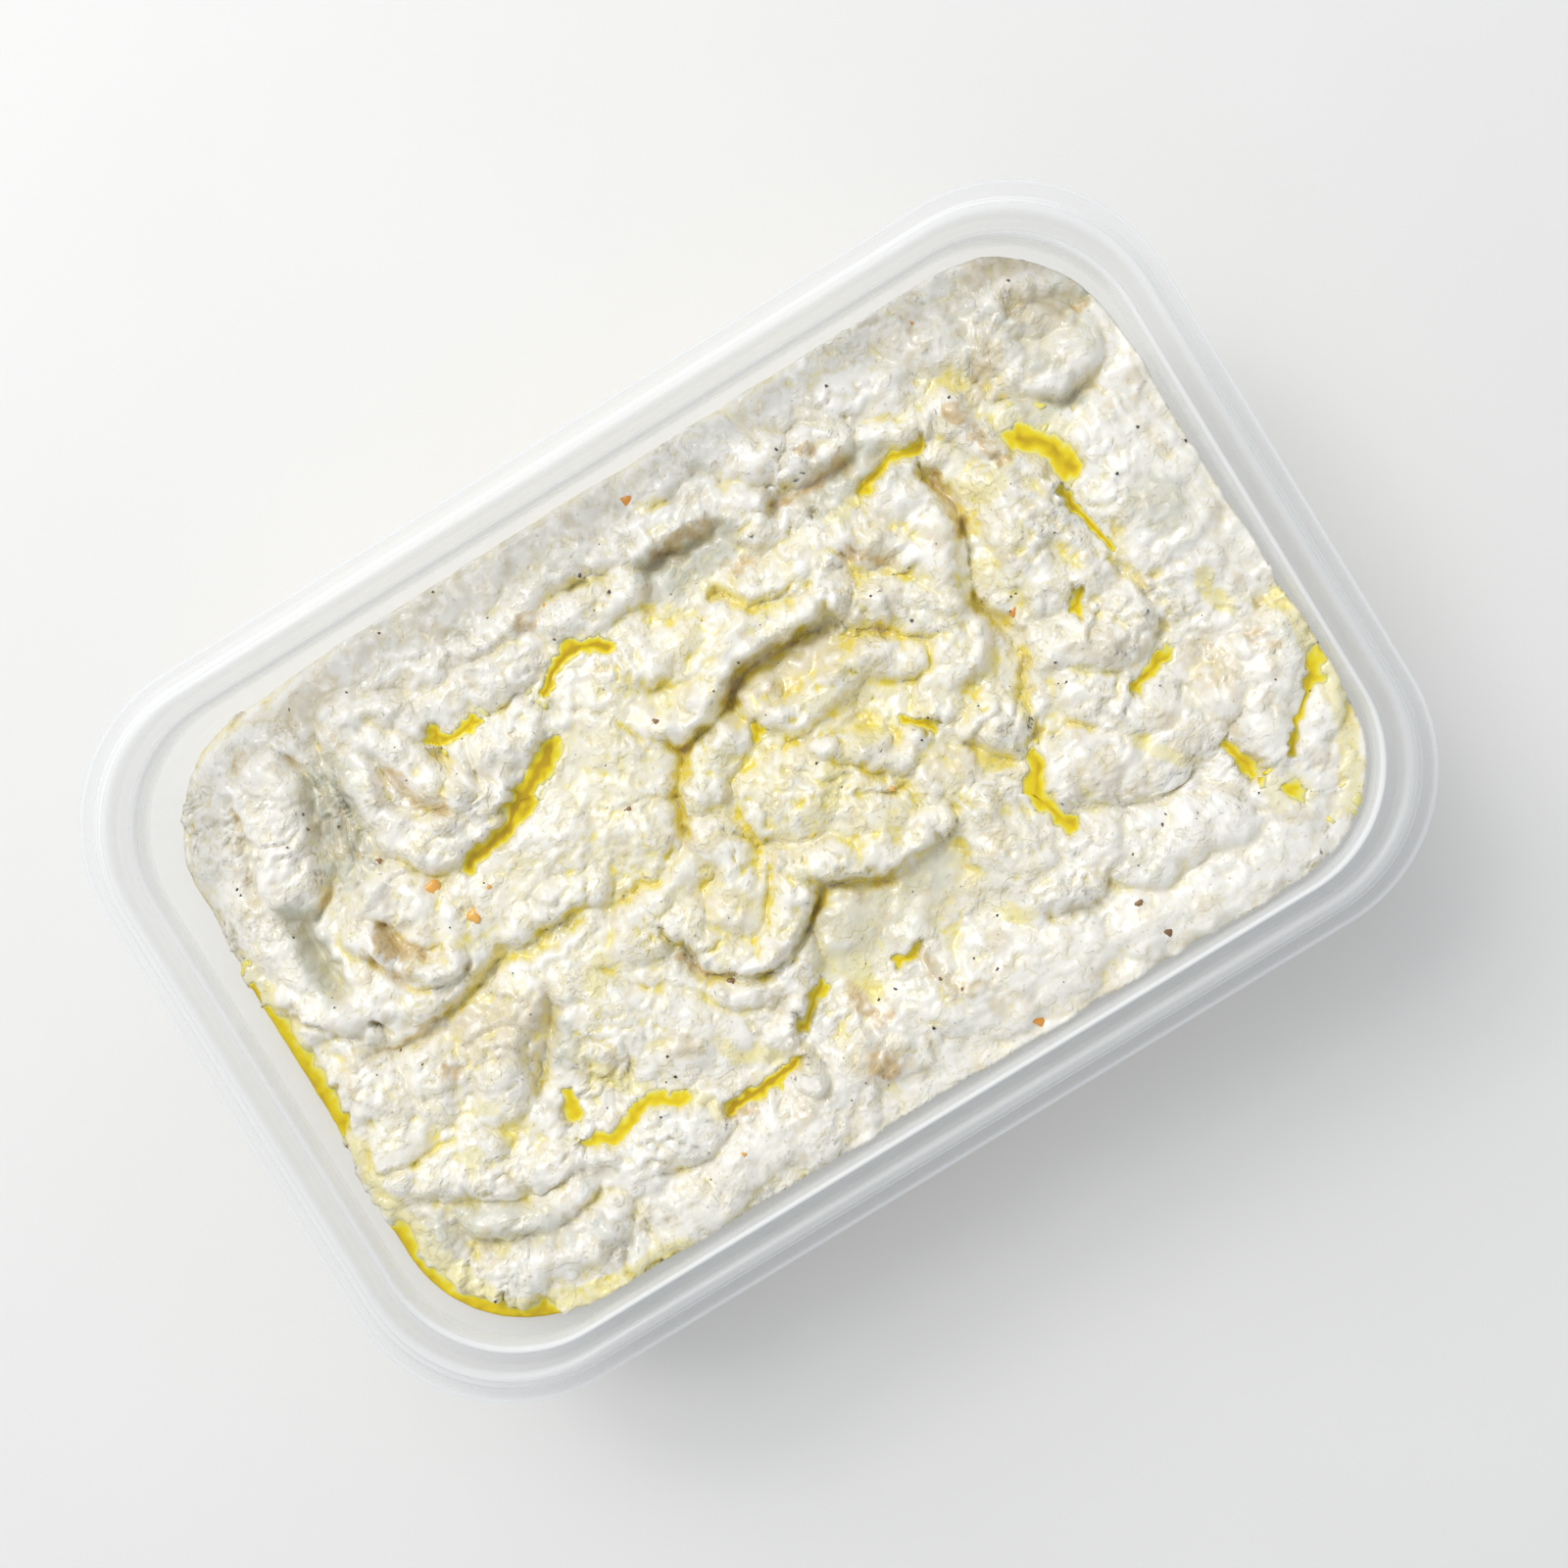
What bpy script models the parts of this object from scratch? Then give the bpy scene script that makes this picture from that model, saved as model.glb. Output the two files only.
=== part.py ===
"""A rectangular plastic tub of baba ganoush, the smoky aubergine dip, with olive oil in its creases.

Units are metres, +Z is up, and the origin is the middle of the tub's underside. Small sizes are
written in millimetres and multiplied by MM.
"""

import math

import bmesh
import bpy
import numpy as np

MM = 0.001

# Tub, measured over its rim
LENGTH = 174 * MM
WIDTH = 117 * MM
HEIGHT = 50 * MM
WALL = 0.8 * MM
TAPER = math.radians(8)
RIM_CORNER = 25 * MM
CORNER_STEPS = 12
FOOT_RADIUS = 8 * MM
FOOT_STEPS = 4
FOOT_WIDTH = 4 * MM
FOOT_RECESS = 0.5 * MM

# The rim's underside from its outer edge inwards: how far in, and how far below the top (mm)
RIM_PROFILE = (
    (0.0, 5.5),
    (2.9, 5.3),
    (3.35, 1.7),
    (3.8, 0.8),
    (4.4, 0.8),
    (4.6, 1.4),
    (5.3, 5.7),
    (6.2, 6.3),
    (6.5, 7.2),
)

# Dip
GAP = 0.3 * MM
WALL_CLEARANCE = 0.15 * MM
GROUND = 34.5 * MM
GROUND_RISE_EAST = 1.5 * MM
GROUND_RISE_SOUTH = 2.2 * MM
CORNER_SINK = 5.0 * MM
SINK_WIDTH = 9.0 * MM
SINK_WEST = (-42 * MM, -62 * MM)
SINK_NORTH = (-4 * MM, 16 * MM)
CREASE = 0.9 * MM
GRID_STEP = 1.15 * MM
EDGE_LEAN = 12
DIP_TRIANGLES = 7900
BIT_SUBDIVISIONS = 1
BIT_BREADTH = 0.75
BIT_THICKNESS = 0.6

# Each stroke of the spoon leaves a roll of dip: the width of its back and of its front slope, its
# rise above the ground, and the line of its crest. The front lies on the right of that line. (mm)
ROLLS = (
    # West end, and the bean-shaped lump beside the scraped grooves
    (7.5, 4.6, 5.2, (-66, 24), (-64.5, 28), (-63, 31.5)),
    (6.5, 4.4, 5.0, (-62.5, 34), (-60.5, 37), (-60, 41)),
    (7.0, 4.6, 3.3, (-71, 9), (-72.5, 16), (-73, 23)),
    (6.0, 3.2, 3.9, (-72, 5), (-64, 3.6), (-57, 0.6), (-49, 2)),
    (1.3, 1.2, 1.9, (-56.5, 22.5), (-53.2, 33.5)),
    (1.3, 1.2, 1.9, (-53.6, 22.0), (-50.9, 32.5)),
    # Small curl
    (3.2, 3.2, 4.0, (-60, 12), (-57.5, 5), (-51.5, 3), (-47.5, 7.5)),
    (4.6, 4.4, 4.3, (-55, 14.5), (-51.5, 12), (-52, 7.5)),
    # Shell-shaped curl and the bun beside it
    (5.5, 3.6, 5.2, (-47.5, 38), (-48.5, 28), (-45.5, 19.5), (-39, 16.6), (-31, 19.4)),
    (3.8, 3.4, 5.8, (-44.5, 38.5), (-41.5, 30), (-39, 24), (-34.5, 20.5)),
    (3.0, 2.8, 5.4, (-46, 41), (-40, 38.4), (-37.5, 33)),
    (5.6, 4.6, 5.2, (-34.5, 25), (-29, 25.5), (-22.8, 25)),
    # North-west, along the wall
    (6.0, 5.5, 3.6, (-64, 44), (-50, 45.5), (-40, 46)),
    (4.6, 4.4, 4.2, (-39, 43), (-34, 44), (-30, 42)),
    (4.4, 3.6, 4.7, (-34, 34.6), (-26, 34.4), (-19, 34)),
    (4.0, 3.8, 4.6, (-32, 39.5), (-25, 40), (-21, 38)),
    (3.8, 3.6, 5.0, (-19, 40), (-16, 41), (-14, 38.2)),
    (4.2, 3.6, 4.6, (-12, 42), (-6, 42.6), (-1, 41.5)),
    (3.8, 3.2, 4.6, (-13, 36), (-7, 35.2), (-1.5, 36)),
    (5.5, 4.5, 3.4, (-26, 46.5), (-12, 47), (2, 47)),
    # North, above the two scraped patches
    (5.0, 3.2, 4.8, (3, 42), (9, 41), (15, 40)),
    (4.2, 4.0, 4.2, (7, 46), (14, 46), (21, 45)),
    (3.6, 3.0, 5.0, (17, 38), (20, 36.5), (19, 33)),
    (5.2, 3.4, 5.2, (22, 42), (28, 39), (36, 38)),
    (4.6, 3.6, 4.2, (28, 45.5), (37, 44), (45, 40)),
    (4.0, 3.4, 2.7, (26, 31), (33, 31.6), (39, 34)),
    (3.2, 2.4, 4.4, (40, 36), (44, 34.5), (47, 32.5)),
    # The broad middle west and its ledges
    (8.5, 7.5, 3.9, (-17, 5), (-13, 14), (-10, 25)),
    (7.5, 6.0, 3.7, (-43, 7), (-34, 8.6), (-26, 11)),
    (3.4, 2.4, 4.1, (-40, 2), (-33, 2.4), (-27, 0.8)),
    (4.2, 3.4, 4.8, (-5, 24), (2, 23.4), (9, 22)),
    (4.8, 3.2, 5.0, (14, 24.5), (20, 24), (26, 24)),
    # The great lip that overhangs a smooth bowl, and the curl that it turns into
    (4.6, 1.8, 5.2, (-8.5, 16.4), (-4.5, 14.2), (-0.4, 13.6)),
    (5.6, 1.6, 6.6, (0.5, 14.6), (8, 18.6), (16, 18), (24, 18.4)),
    (4.2, 3.6, 4.9, (25, 17.6), (32, 12), (35.4, 5), (31, 1)),
    (3.2, 2.6, 4.6, (14, 7.4), (20, 8.6), (28, 5)),
    (4.2, 4.0, 4.9, (-5.5, 4.6), (-2.5, 7), (1.4, 8.4)),
    (3.4, 3.2, 4.6, (7.5, 9.4), (9.5, 7.6), (12.5, 7)),
    # Heart of the dip
    (8.5, 7.0, 5.4, (3, -2.5), (8, -7), (12, -12)),
    (4.8, 4.6, 5.2, (-8.5, -3), (-9.5, -8), (-12.5, -13)),
    (5.2, 2.0, 5.9, (-20, -11), (-17, -17.2), (-10.5, -19.8), (-5, -17), (-0.8, -13.2)),
    (4.8, 1.8, 5.9, (0.5, -12.8), (5.5, -14.6), (13, -17.2), (20, -17.6)),
    (3.0, 2.4, 6.0, (11, 0.6), (16, -2.4), (19, -5.8), (25.5, -5.4)),
    (6.5, 5.5, 4.6, (23, -10), (26, -18), (26.5, -27)),
    (5.2, 4.4, 4.9, (29, -4), (33, -7), (36, -10.5)),
    # West half, below the middle
    (5.0, 4.6, 4.4, (-27, -8), (-19, -5.4), (-12.5, -0.5)),
    (8.5, 8.0, 3.7, (-38, -11), (-33, -18), (-27, -25)),
    (6.0, 2.4, 4.9, (-54, -18), (-50.5, -12), (-43.5, -7.4)),
    (5.0, 4.8, 3.9, (-71, -7), (-69.5, -11), (-70.5, -16)),
    (4.4, 4.4, 4.1, (-62, -9), (-64, -14)),
    (5.0, 4.2, 4.1, (-72.5, -21), (-68, -23), (-62, -23.6)),
    (4.2, 2.4, 4.6, (-65, -26), (-57.5, -29.4), (-50, -30.6), (-45, -32)),
    (3.4, 2.8, 4.0, (-67.5, -31), (-63.5, -34), (-57, -36), (-51.5, -34.6)),
    (5.0, 4.2, 4.4, (-66, -41), (-59, -41), (-51.5, -40.5)),
    (2.4, 2.4, 3.8, (-69.4, -42.6), (-67, -44.4)),
    (3.8, 3.0, 4.7, (-19.5, -21.4), (-13, -24.4), (-8, -24.6), (-6.6, -21.6)),
    (3.4, 2.8, 4.4, (-8.6, -25.4), (-11, -29.4), (-16, -31.4)),
    # South bank
    (6.5, 5.5, 4.9, (-42, -36), (-37, -35.6), (-32, -37.8)),
    (5.5, 4.6, 4.5, (-42, -45), (-33, -45), (-24, -43.6)),
    (2.2, 2.2, 5.8, (-14.1, -36), (-14.6, -39.6)),
    (7.5, 6.5, 4.2, (-18, -44), (-8, -41), (0, -40)),
    (8.0, 7.0, 4.0, (7, -40), (16, -42), (26, -43)),
    (5.6, 3.4, 4.3, (27, -33.5), (33, -35.6), (38, -33)),
    (6.0, 5.0, 4.6, (43, -37.6), (48, -37.4), (55, -38.6)),
    (6.0, 4.6, 4.0, (36, -46), (48, -47), (58, -46.6)),
    (7.0, 6.0, 3.2, (60, -43), (67, -41), (73, -35)),
    # The sail-shaped fold, and the long strip and mass east of its crease
    (6.5, 3.6, 6.0, (39.5, 12), (41.6, 19), (40.6, 26)),
    (5.0, 3.0, 5.8, (29.5, 25), (33.5, 20.6), (38, 14)),
    (2.6, 2.2, 4.7, (50.4, 33), (53, 26.6), (56.6, 19.6), (58.8, 15)),
    (7.0, 5.4, 4.9, (54, 19), (51.5, 11), (52.5, 3)),
    (5.4, 4.6, 5.0, (47.5, -6), (54, -7.6), (58.5, -6.4)),
    (6.5, 6.5, 4.0, (69, 17), (70, 8), (71, -2)),
    # North-east corner
    (5.5, 4.6, 4.0, (51, 43), (57, 39), (61, 36)),
    (5.0, 4.6, 3.6, (64, 43), (69, 39)),
    (4.2, 3.2, 4.2, (61, 32), (67, 29), (72, 30)),
    # East, with the tongue that points south
    (6.0, 5.4, 4.7, (36.5, -20.4), (41, -21), (46.5, -23)),
    (4.8, 4.6, 4.0, (46.5, -12), (50, -16), (55, -18.4)),
    (4.6, 4.4, 4.8, (64.5, -22), (70, -21), (75, -21)),
    (5.6, 3.8, 5.2, (71, -23), (67.6, -28), (65.2, -32.6)),
    (3.8, 2.4, 4.3, (68.4, -35.4), (72, -35), (76.5, -31)),
    (5.0, 5.0, 3.9, (52, -26), (57, -24)),
)

# Oil: the name of each pool, its half width, its depth, and its line (mm)
POOLS = (
    ("oil_west_wall", 2.0, 2.2, (-75.2, 12), (-74.6, 0), (-74.4, -13)),
    ("oil_south_west_corner", 2.5, 2.4, (-75, -23), (-73.6, -34), (-68.4, -42.8), (-60, -47.2)),
    ("oil_shell_notch", 1.4, 2.4, (-35.9, 31.6), (-33.4, 29.8), (-28.4, 30.7)),
    ("oil_bun_crease", 2.2, 3.2, (-41.2, 12.8), (-34.5, 14.2), (-28.5, 18), (-22.4, 21.2)),
    ("oil_north_crease", 1.7, 3.0, (-18.2, 29.4), (-14.4, 31.6), (-11.4, 31.4), (-7.6, 29.6)),
    ("oil_sail_top", 1.3, 2.6, (35.2, 29.2), (40.6, 31.4), (46.6, 30.8)),
    ("oil_north_east", 2.9, 2.6, (59.2, 23.4), (62, 20.6), (62.6, 16.6)),
    ("oil_east_slot", 1.2, 2.6, (60.2, 14.4), (61.2, 10), (62.4, 4.4)),
    ("oil_east_dimple", 1.3, 2.4, (53.4, 0), (52.0, -2.2)),
    ("oil_east_mass_foot", 1.4, 2.6, (55, -14.6), (59.6, -13)),
    ("oil_pebble_west", 1.8, 2.4, (36.2, -16.4), (33.9, -20.6), (35.2, -26)),
    ("oil_tongue_west", 1.7, 2.4, (61.4, -28), (62, -34.2)),
    ("oil_tongue_tip", 2.6, 2.0, (64.8, -38.2), (65.2, -38.6)),
    ("oil_tongue_east", 0.9, 2.2, (67.6, -34), (71.6, -30.6), (76.6, -25.4)),
    ("oil_west_pond", 2.3, 2.2, (-46.2, -23), (-46.4, -25)),
    ("oil_west_trickle", 1.2, 2.0, (-47.4, -29), (-42.6, -30.6), (-36, -30), (-31, -32.8)),
    ("oil_south_slot", 1.7, 3.6, (-27, -37.2), (-21.4, -36.8), (-16, -36)),
    ("oil_crescent_foot", 1.4, 2.6, (-12, -32.2), (-8.6, -30.2), (-5.4, -28)),
    ("oil_bowl_foot", 1.1, 2.0, (4.4, -30.8), (8.8, -30.2)),
    ("oil_heart_east", 1.1, 2.4, (23.6, -2.6), (27, -5.4)),
    ("oil_lump_notch", 1.2, 2.4, (4.4, 6.6), (5.6, 8.2)),
)

# Creases and bowls with no oil: half width, depth, and line (mm)
HOLLOWS = (
    (1.1, 3.2, (-36.9, 27.4), (-36.2, 30.4)),
    (1.0, 2.8, (-21.6, 21.8), (-20.0, 25.4), (-18.9, 28.6)),
    (0.9, 2.6, (-12, 0.4), (-9.6, 5), (-6, 9), (-4.4, 11), (-1, 11.4)),
    (1.1, 3.6, (3, 13.6), (9, 16), (15, 15.6), (22, 15.8)),
    (1.0, 3.0, (2.6, 36.8), (8, 38), (14, 37)),
    (1.0, 3.0, (22.4, 34.2), (29, 33.4), (37, 35)),
    (0.9, 2.6, (9.4, 28), (12, 24), (15.4, 21.4), (20.4, 20.6)),
    (1.0, 3.2, (44.6, 27.4), (45.2, 21.4), (42.4, 14), (40.8, 9.6), (42.6, 3), (42, -4)),
    (0.9, 2.6, (40.4, -6), (39, -11), (37, -15)),
    (1.6, 1.8, (54.4, 6.2), (54.8, 4.4)),
    (1.2, 2.8, (-67, 18), (-67.6, 9)),
    (1.0, 2.6, (-67.4, -2.4), (-62.6, -4.2), (-56.6, -3), (-50, -1.4), (-44.4, -0.4)),
    (1.2, 2.8, (-42.6, -10.6), (-46, -15.4), (-50, -19)),
    (1.0, 2.4, (-23.4, -3.4), (-17.6, -2.6), (-12.4, 0)),
    (1.0, 2.6, (-21.6, -15), (-18.6, -19.6), (-13, -22)),
    (1.0, 3.0, (-6.6, -21), (-3, -17.2), (0.4, -15.2), (5, -17), (9.6, -18.6)),
    (1.1, 2.6, (-67, -29), (-69.4, -32), (-66, -36.2), (-57, -38.4), (-50, -37)),
    (1.0, 2.4, (57.6, 36), (61, 29), (66, 25.4), (71, 26)),
    (1.0, 2.4, (66.4, 40.6), (72, 39), (76, 36)),
    (0.9, 2.4, (61.6, 2), (62.6, -4), (60.4, -10)),
    (1.0, 2.2, (27, -36), (33, -38.4)),
)

HOLLOW_REACH = 2.2
HOLLOW_DEPTH = 0.8
HOLLOW_SHAPE = 1.5

# The shore of a pool: how far its bank stands above the oil, how many half widths out the bank
# ends, and how softly the trough meets it
BANK = 0.35 * MM
BANK_END = 2.6
BANK_CREASE = 0.3 * MM
TROUGH_CREASE = 0.5 * MM
POOL_OVERLAP = 1.45
POOL_FLOOR = 3 * MM

# Flakes of chilli and aubergine seeds large enough to be solid: place and longest radius (mm)
BITS = (
    (-47.3, 13.0, 1.25),
    (-44.0, 6.6, 1.25),
    (-16.9, 8.0, 0.85),
    (-6.9, 16.9, 0.8),
    (44.8, 3.3, 0.9),
    (38.2, -41.6, 0.85),
    (39.7, -47.2, 0.85),
    (17.6, -48.2, 1.2),
    (-17.2, -20.6, 0.8),
    (5.9, 45.8, 1.0),
)

# A roll's section is a power of a parabola: a gentle back, and a front that ends in a lip
ROLL_RISE = 0.78
ROLL_SHAPE = 1.2
LIP_SHAPE = 0.7
BACK_SPREAD = 1.7

# Lumps in the dip, coarse then fine: the spacing, the height and the seed of each lattice
COARSE_LUMPS = (6.4 * MM, 1.3 * MM, 11)
FINE_LUMPS = (3.1 * MM, 0.6 * MM, 23)
WARP = (9.0 * MM, 1.1 * MM, 5)

TUB_COLOUR = (0.86, 0.88, 0.88, 1.0)
DIP_COLOUR = (0.86, 0.82, 0.70, 1.0)
OIL_COLOUR = (0.78, 0.62, 0.04, 1.0)


def clear_scene():
    """Start from an empty scene."""
    for obj in list(bpy.data.objects):
        bpy.data.objects.remove(obj, do_unlink=True)


def new_collection(name):
    collection = bpy.data.collections.new(name)
    bpy.context.scene.collection.children.link(collection)
    return collection


def material(name, colour, roughness, alpha=1.0):
    """A Principled material of one colour."""
    made = bpy.data.materials.new(name)
    made.use_nodes = True
    shader = made.node_tree.nodes["Principled BSDF"]
    shader.inputs["Base Color"].default_value = colour
    shader.inputs["Roughness"].default_value = roughness
    shader.inputs["Metallic"].default_value = 0.0
    shader.inputs["Alpha"].default_value = alpha
    return made


def object_from_bmesh(name, bm, collection, look=None):
    """Turn a bmesh into an object, with its normals outward."""
    bmesh.ops.recalc_face_normals(bm, faces=bm.faces[:])
    mesh = bpy.data.meshes.new(name)
    bm.to_mesh(mesh)
    bm.free()
    obj = bpy.data.objects.new(name, mesh)
    collection.objects.link(obj)
    if look:
        mesh.materials.append(look)
    return obj


def apply_modifiers(obj):
    """Make every modifier of the object final."""
    bpy.context.view_layer.objects.active = obj
    for modifier in list(obj.modifiers):
        bpy.ops.object.modifier_apply(modifier=modifier.name)


# The tub's outline at an inset from the rim's outer edge


def corner_radius(inset):
    """The corners tighten by 0.7 mm for each mm of rim, and more slowly down the wall."""
    rim_inset = RIM_PROFILE[-1][0] * MM
    return RIM_CORNER - 0.7 * min(inset, rim_inset) - 0.35 * max(inset - rim_inset, 0.0)


def outline(inset):
    """The rounded rectangle at an inset, anticlockwise, as an array of points."""
    radius = corner_radius(inset)
    turn = np.linspace(0, math.pi / 2, CORNER_STEPS + 1)
    arc = np.stack([np.cos(turn), np.sin(turn)], axis=1) * radius
    centre = np.array([LENGTH / 2 - inset - radius, WIDTH / 2 - inset - radius])
    corners = []
    for quarter in range(4):
        cos, sin = round(math.cos(quarter * math.pi / 2)), round(math.sin(quarter * math.pi / 2))
        rotation = np.array([[cos, -sin], [sin, cos]])
        signs = ((1, 1), (-1, 1), (-1, -1), (1, -1))[quarter]
        corners.append(arc @ rotation.T + centre * signs)
    return np.concatenate(corners)


def wall_inset(height):
    """Inset of the wall's outer face at a height above the rounded foot."""
    top_inset, top_drop = RIM_PROFILE[-1]
    return top_inset * MM + (HEIGHT - top_drop * MM - height) * math.tan(TAPER)


def foot_arc(radius, inset_at_top, height_at_top, steps):
    """The rounded foot under a leaning wall: insets and heights, from the wall down to the flat."""
    lean = np.linspace(TAPER, math.pi / 2, steps + 1)
    inset = inset_at_top + radius * (math.cos(TAPER) - np.cos(lean))
    height = height_at_top - radius * (np.sin(lean) - math.sin(TAPER))
    return list(zip(inset, height))


def tub_profile():
    """The tub's outer face as (inset, height), from the rim's edge down to the foot's inner edge."""
    rim = [(inset * MM, HEIGHT - drop * MM) for inset, drop in RIM_PROFILE]
    start = FOOT_RADIUS * (1 - math.sin(TAPER))
    foot = foot_arc(FOOT_RADIUS, wall_inset(start), start, FOOT_STEPS)
    flat_inset = foot[-1][0]
    recess = [(flat_inset + FOOT_WIDTH, 0.0), (flat_inset + FOOT_WIDTH + FOOT_RECESS, FOOT_RECESS)]
    return rim + foot + recess


def make_tub(collection, look):
    """The shell: rings of its underside, skinned, closed by the base, with the wall added on top."""
    bm = bmesh.new()
    rings = []
    for inset, height in tub_profile():
        rings.append([bm.verts.new((x, y, height)) for x, y in outline(inset)])
    for outer, inner in zip(rings, rings[1:]):
        count = len(outer)
        for i in range(count):
            j = (i + 1) % count
            bm.faces.new((outer[i], outer[j], inner[j], inner[i]))
    bm.faces.new(rings[-1])
    tub = object_from_bmesh("tub", bm, collection, look)
    wall = tub.modifiers.new("wall", "SOLIDIFY")
    wall.thickness = WALL
    wall.offset = 1.0
    wall.use_even_offset = True
    tub.data.shade_smooth()
    tub.data.set_sharp_from_angle(angle=math.radians(35))
    return tub


# Shape of the dip's surface


def smooth_max(a, b, softness):
    """The larger of two heights, with the corner between them rounded."""
    mix = np.clip(0.5 + 0.5 * (a - b) / softness, 0, 1)
    return b + (a - b) * mix + softness * mix * (1 - mix)


def smooth_min(a, b, softness):
    return -smooth_max(-a, -b, softness)


def value_noise(x, y, cell, seed, size=64):
    """Random heights from -1 to 1 on a square lattice, blended smoothly between its points."""
    lattice = np.random.default_rng(seed).uniform(-1, 1, (size, size))
    u, v = x / cell, y / cell
    i, j = np.floor(u).astype(int), np.floor(v).astype(int)
    s, t = u - i, v - j
    s, t = s * s * (3 - 2 * s), t * t * (3 - 2 * t)
    low = lattice[i % size, j % size] * (1 - s) + lattice[(i + 1) % size, j % size] * s
    high = lattice[i % size, (j + 1) % size] * (1 - s) + lattice[(i + 1) % size, (j + 1) % size] * s
    return low * (1 - t) + high * t


def lumps(x, y, cell, seed, size=64):
    """Round domes, one in each cell of a lattice, at random places and of random sizes, from 0 to 1."""
    draw = np.random.default_rng(seed)
    place_x = draw.uniform(0.1, 0.9, (size, size))
    place_y = draw.uniform(0.1, 0.9, (size, size))
    radius = draw.uniform(0.55, 1.0, (size, size))
    u, v = x / cell, y / cell
    i, j = np.floor(u).astype(int), np.floor(v).astype(int)
    height = np.zeros_like(u)
    for di in (-1, 0, 1):
        for dj in (-1, 0, 1):
            a, b = (i + di) % size, (j + dj) % size
            across = np.hypot(u - i - di - place_x[a, b], v - j - dj - place_y[a, b])
            reach = radius[a, b]
            dome = reach * np.clip(1 - (across / reach) ** 2, 0, None) ** 0.8
            height = smooth_max(height, dome, 0.12)
    return height


def smooth_line(points, spacing=1.0):
    """A Catmull-Rom curve through points given in mm, as an array in metres."""
    p = np.array(points, float)
    p = np.vstack([2 * p[0] - p[1], p, 2 * p[-1] - p[-2]])
    line = []
    for a, b, c, d in zip(p, p[1:], p[2:], p[3:]):
        steps = max(1, math.ceil(np.linalg.norm(c - b) / spacing))
        for t in np.arange(steps) / steps:
            line.append(b + 0.5 * t * (c - a + t * (2 * a - 5 * b + 4 * c - d + t * (3 * (b - c) + d - a))))
    line.append(p[-2])
    return np.array(line) * MM


def from_line(x, y, line):
    """Distance from a line, and the side: 1 at its right hand, -1 at its left, less past its ends."""
    nearest = np.full(np.shape(x), np.inf)
    side = np.zeros(np.shape(x))
    for (ax, ay), (bx, by) in zip(line, line[1:]):
        dx, dy = bx - ax, by - ay
        length = math.hypot(dx, dy)
        along = np.clip(((x - ax) * dx + (y - ay) * dy) / length**2, 0, 1)
        px, py = x - ax - along * dx, y - ay - along * dy
        distance = np.hypot(px, py)
        closer = distance < nearest
        right = (px * dy - py * dx) / (length * np.maximum(distance, 1e-9))
        side = np.where(closer, right, side)
        nearest = np.where(closer, distance, nearest)
    return nearest, side


def from_wall(x, y):
    """How far a place is from the dip's outline, up to the corner radius."""
    inset = wall_inset(GROUND) + WALL / math.cos(TAPER)
    radius = corner_radius(inset)
    over_x = np.maximum(np.abs(x) - (LENGTH / 2 - inset - radius), 0)
    over_y = np.maximum(np.abs(y) - (WIDTH / 2 - inset - radius), 0)
    return radius - np.hypot(over_x, over_y)


def ground(x, y):
    """The level that the rolls stand on: higher to the east and south, sunk along the north-west wall."""
    level = GROUND + GROUND_RISE_EAST * x / (LENGTH / 2) - GROUND_RISE_SOUTH * y / (WIDTH / 2)
    near = np.clip(1 - from_wall(x, y) / SINK_WIDTH, 0, 1)
    west = np.clip((x - SINK_WEST[0]) / (SINK_WEST[1] - SINK_WEST[0]), 0, 1)
    north = np.clip((y - SINK_NORTH[0]) / (SINK_NORTH[1] - SINK_NORTH[0]), 0, 1)
    return level - CORNER_SINK * near * west * north


def rolled(x, y):
    """The ground with every roll laid on it, and lumps on the rolls."""
    cell, reach, seed = WARP
    wx = x + reach * value_noise(x, y, cell, seed)
    wy = y + reach * value_noise(x, y, cell, seed + 1)
    low = ground(x, y)
    height = low.copy()
    for back, front, rise, *points in ROLLS:
        back = BACK_SPREAD * back
        line = smooth_line(points)
        near = np.flatnonzero(beside(wx, wy, line, max(back, front) * MM))
        distance, side = from_line(wx[near], wy[near], line)
        width = 0.5 * (back + front) * MM + 0.5 * (front - back) * MM * side
        share = np.clip(1 - (distance / width) ** 2, 0, None) ** (ROLL_SHAPE - LIP_SHAPE * side)
        roll = low[near] + (ROLL_RISE * rise * MM + CREASE) * share - CREASE
        height[near] = smooth_max(height[near], roll, CREASE)
    for spacing, rise, seed in (COARSE_LUMPS, FINE_LUMPS):
        height = height + rise * (lumps(wx, wy, spacing, seed) - 0.5)
    return height


def beside(x, y, line, reach):
    """Which places lie within reach of the box round a line."""
    low, high = line.min(axis=0) - reach, line.max(axis=0) + reach
    return (x > low[0]) & (x < high[0]) & (y > low[1]) & (y < high[1])


def hollow_level(line, half_width):
    """The level of the lowest banks beside a line, a little way outside the hollow."""
    across = np.gradient(line, axis=0)
    across = np.stack([-across[:, 1], across[:, 0]], axis=1)
    across /= np.linalg.norm(across, axis=1, keepdims=True)
    banks = np.concatenate([line + 1.5 * half_width * across, line - 1.5 * half_width * across])
    inside = from_wall(banks[:, 0], banks[:, 1]) > GAP
    heights = np.sort(rolled(*banks[inside].T))
    return float(np.mean(heights[: max(3, len(heights) // 3)]))


def carve(height, x, y, line, half_width, depth, level):
    """Cut a trough whose shore is at the level, with steep banks just outside it."""
    distance, _ = from_line(x, y, line)
    reach = distance / half_width
    trough = level + depth * (reach**2 - 1)
    near = np.clip(BANK_END - reach, 0, 1)
    shore = (level + BANK) * near + height * (1 - near)
    banked = np.where(reach > 1, smooth_max(height, shore, BANK_CREASE), height)
    return smooth_min(banked, trough, TROUGH_CREASE)


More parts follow.
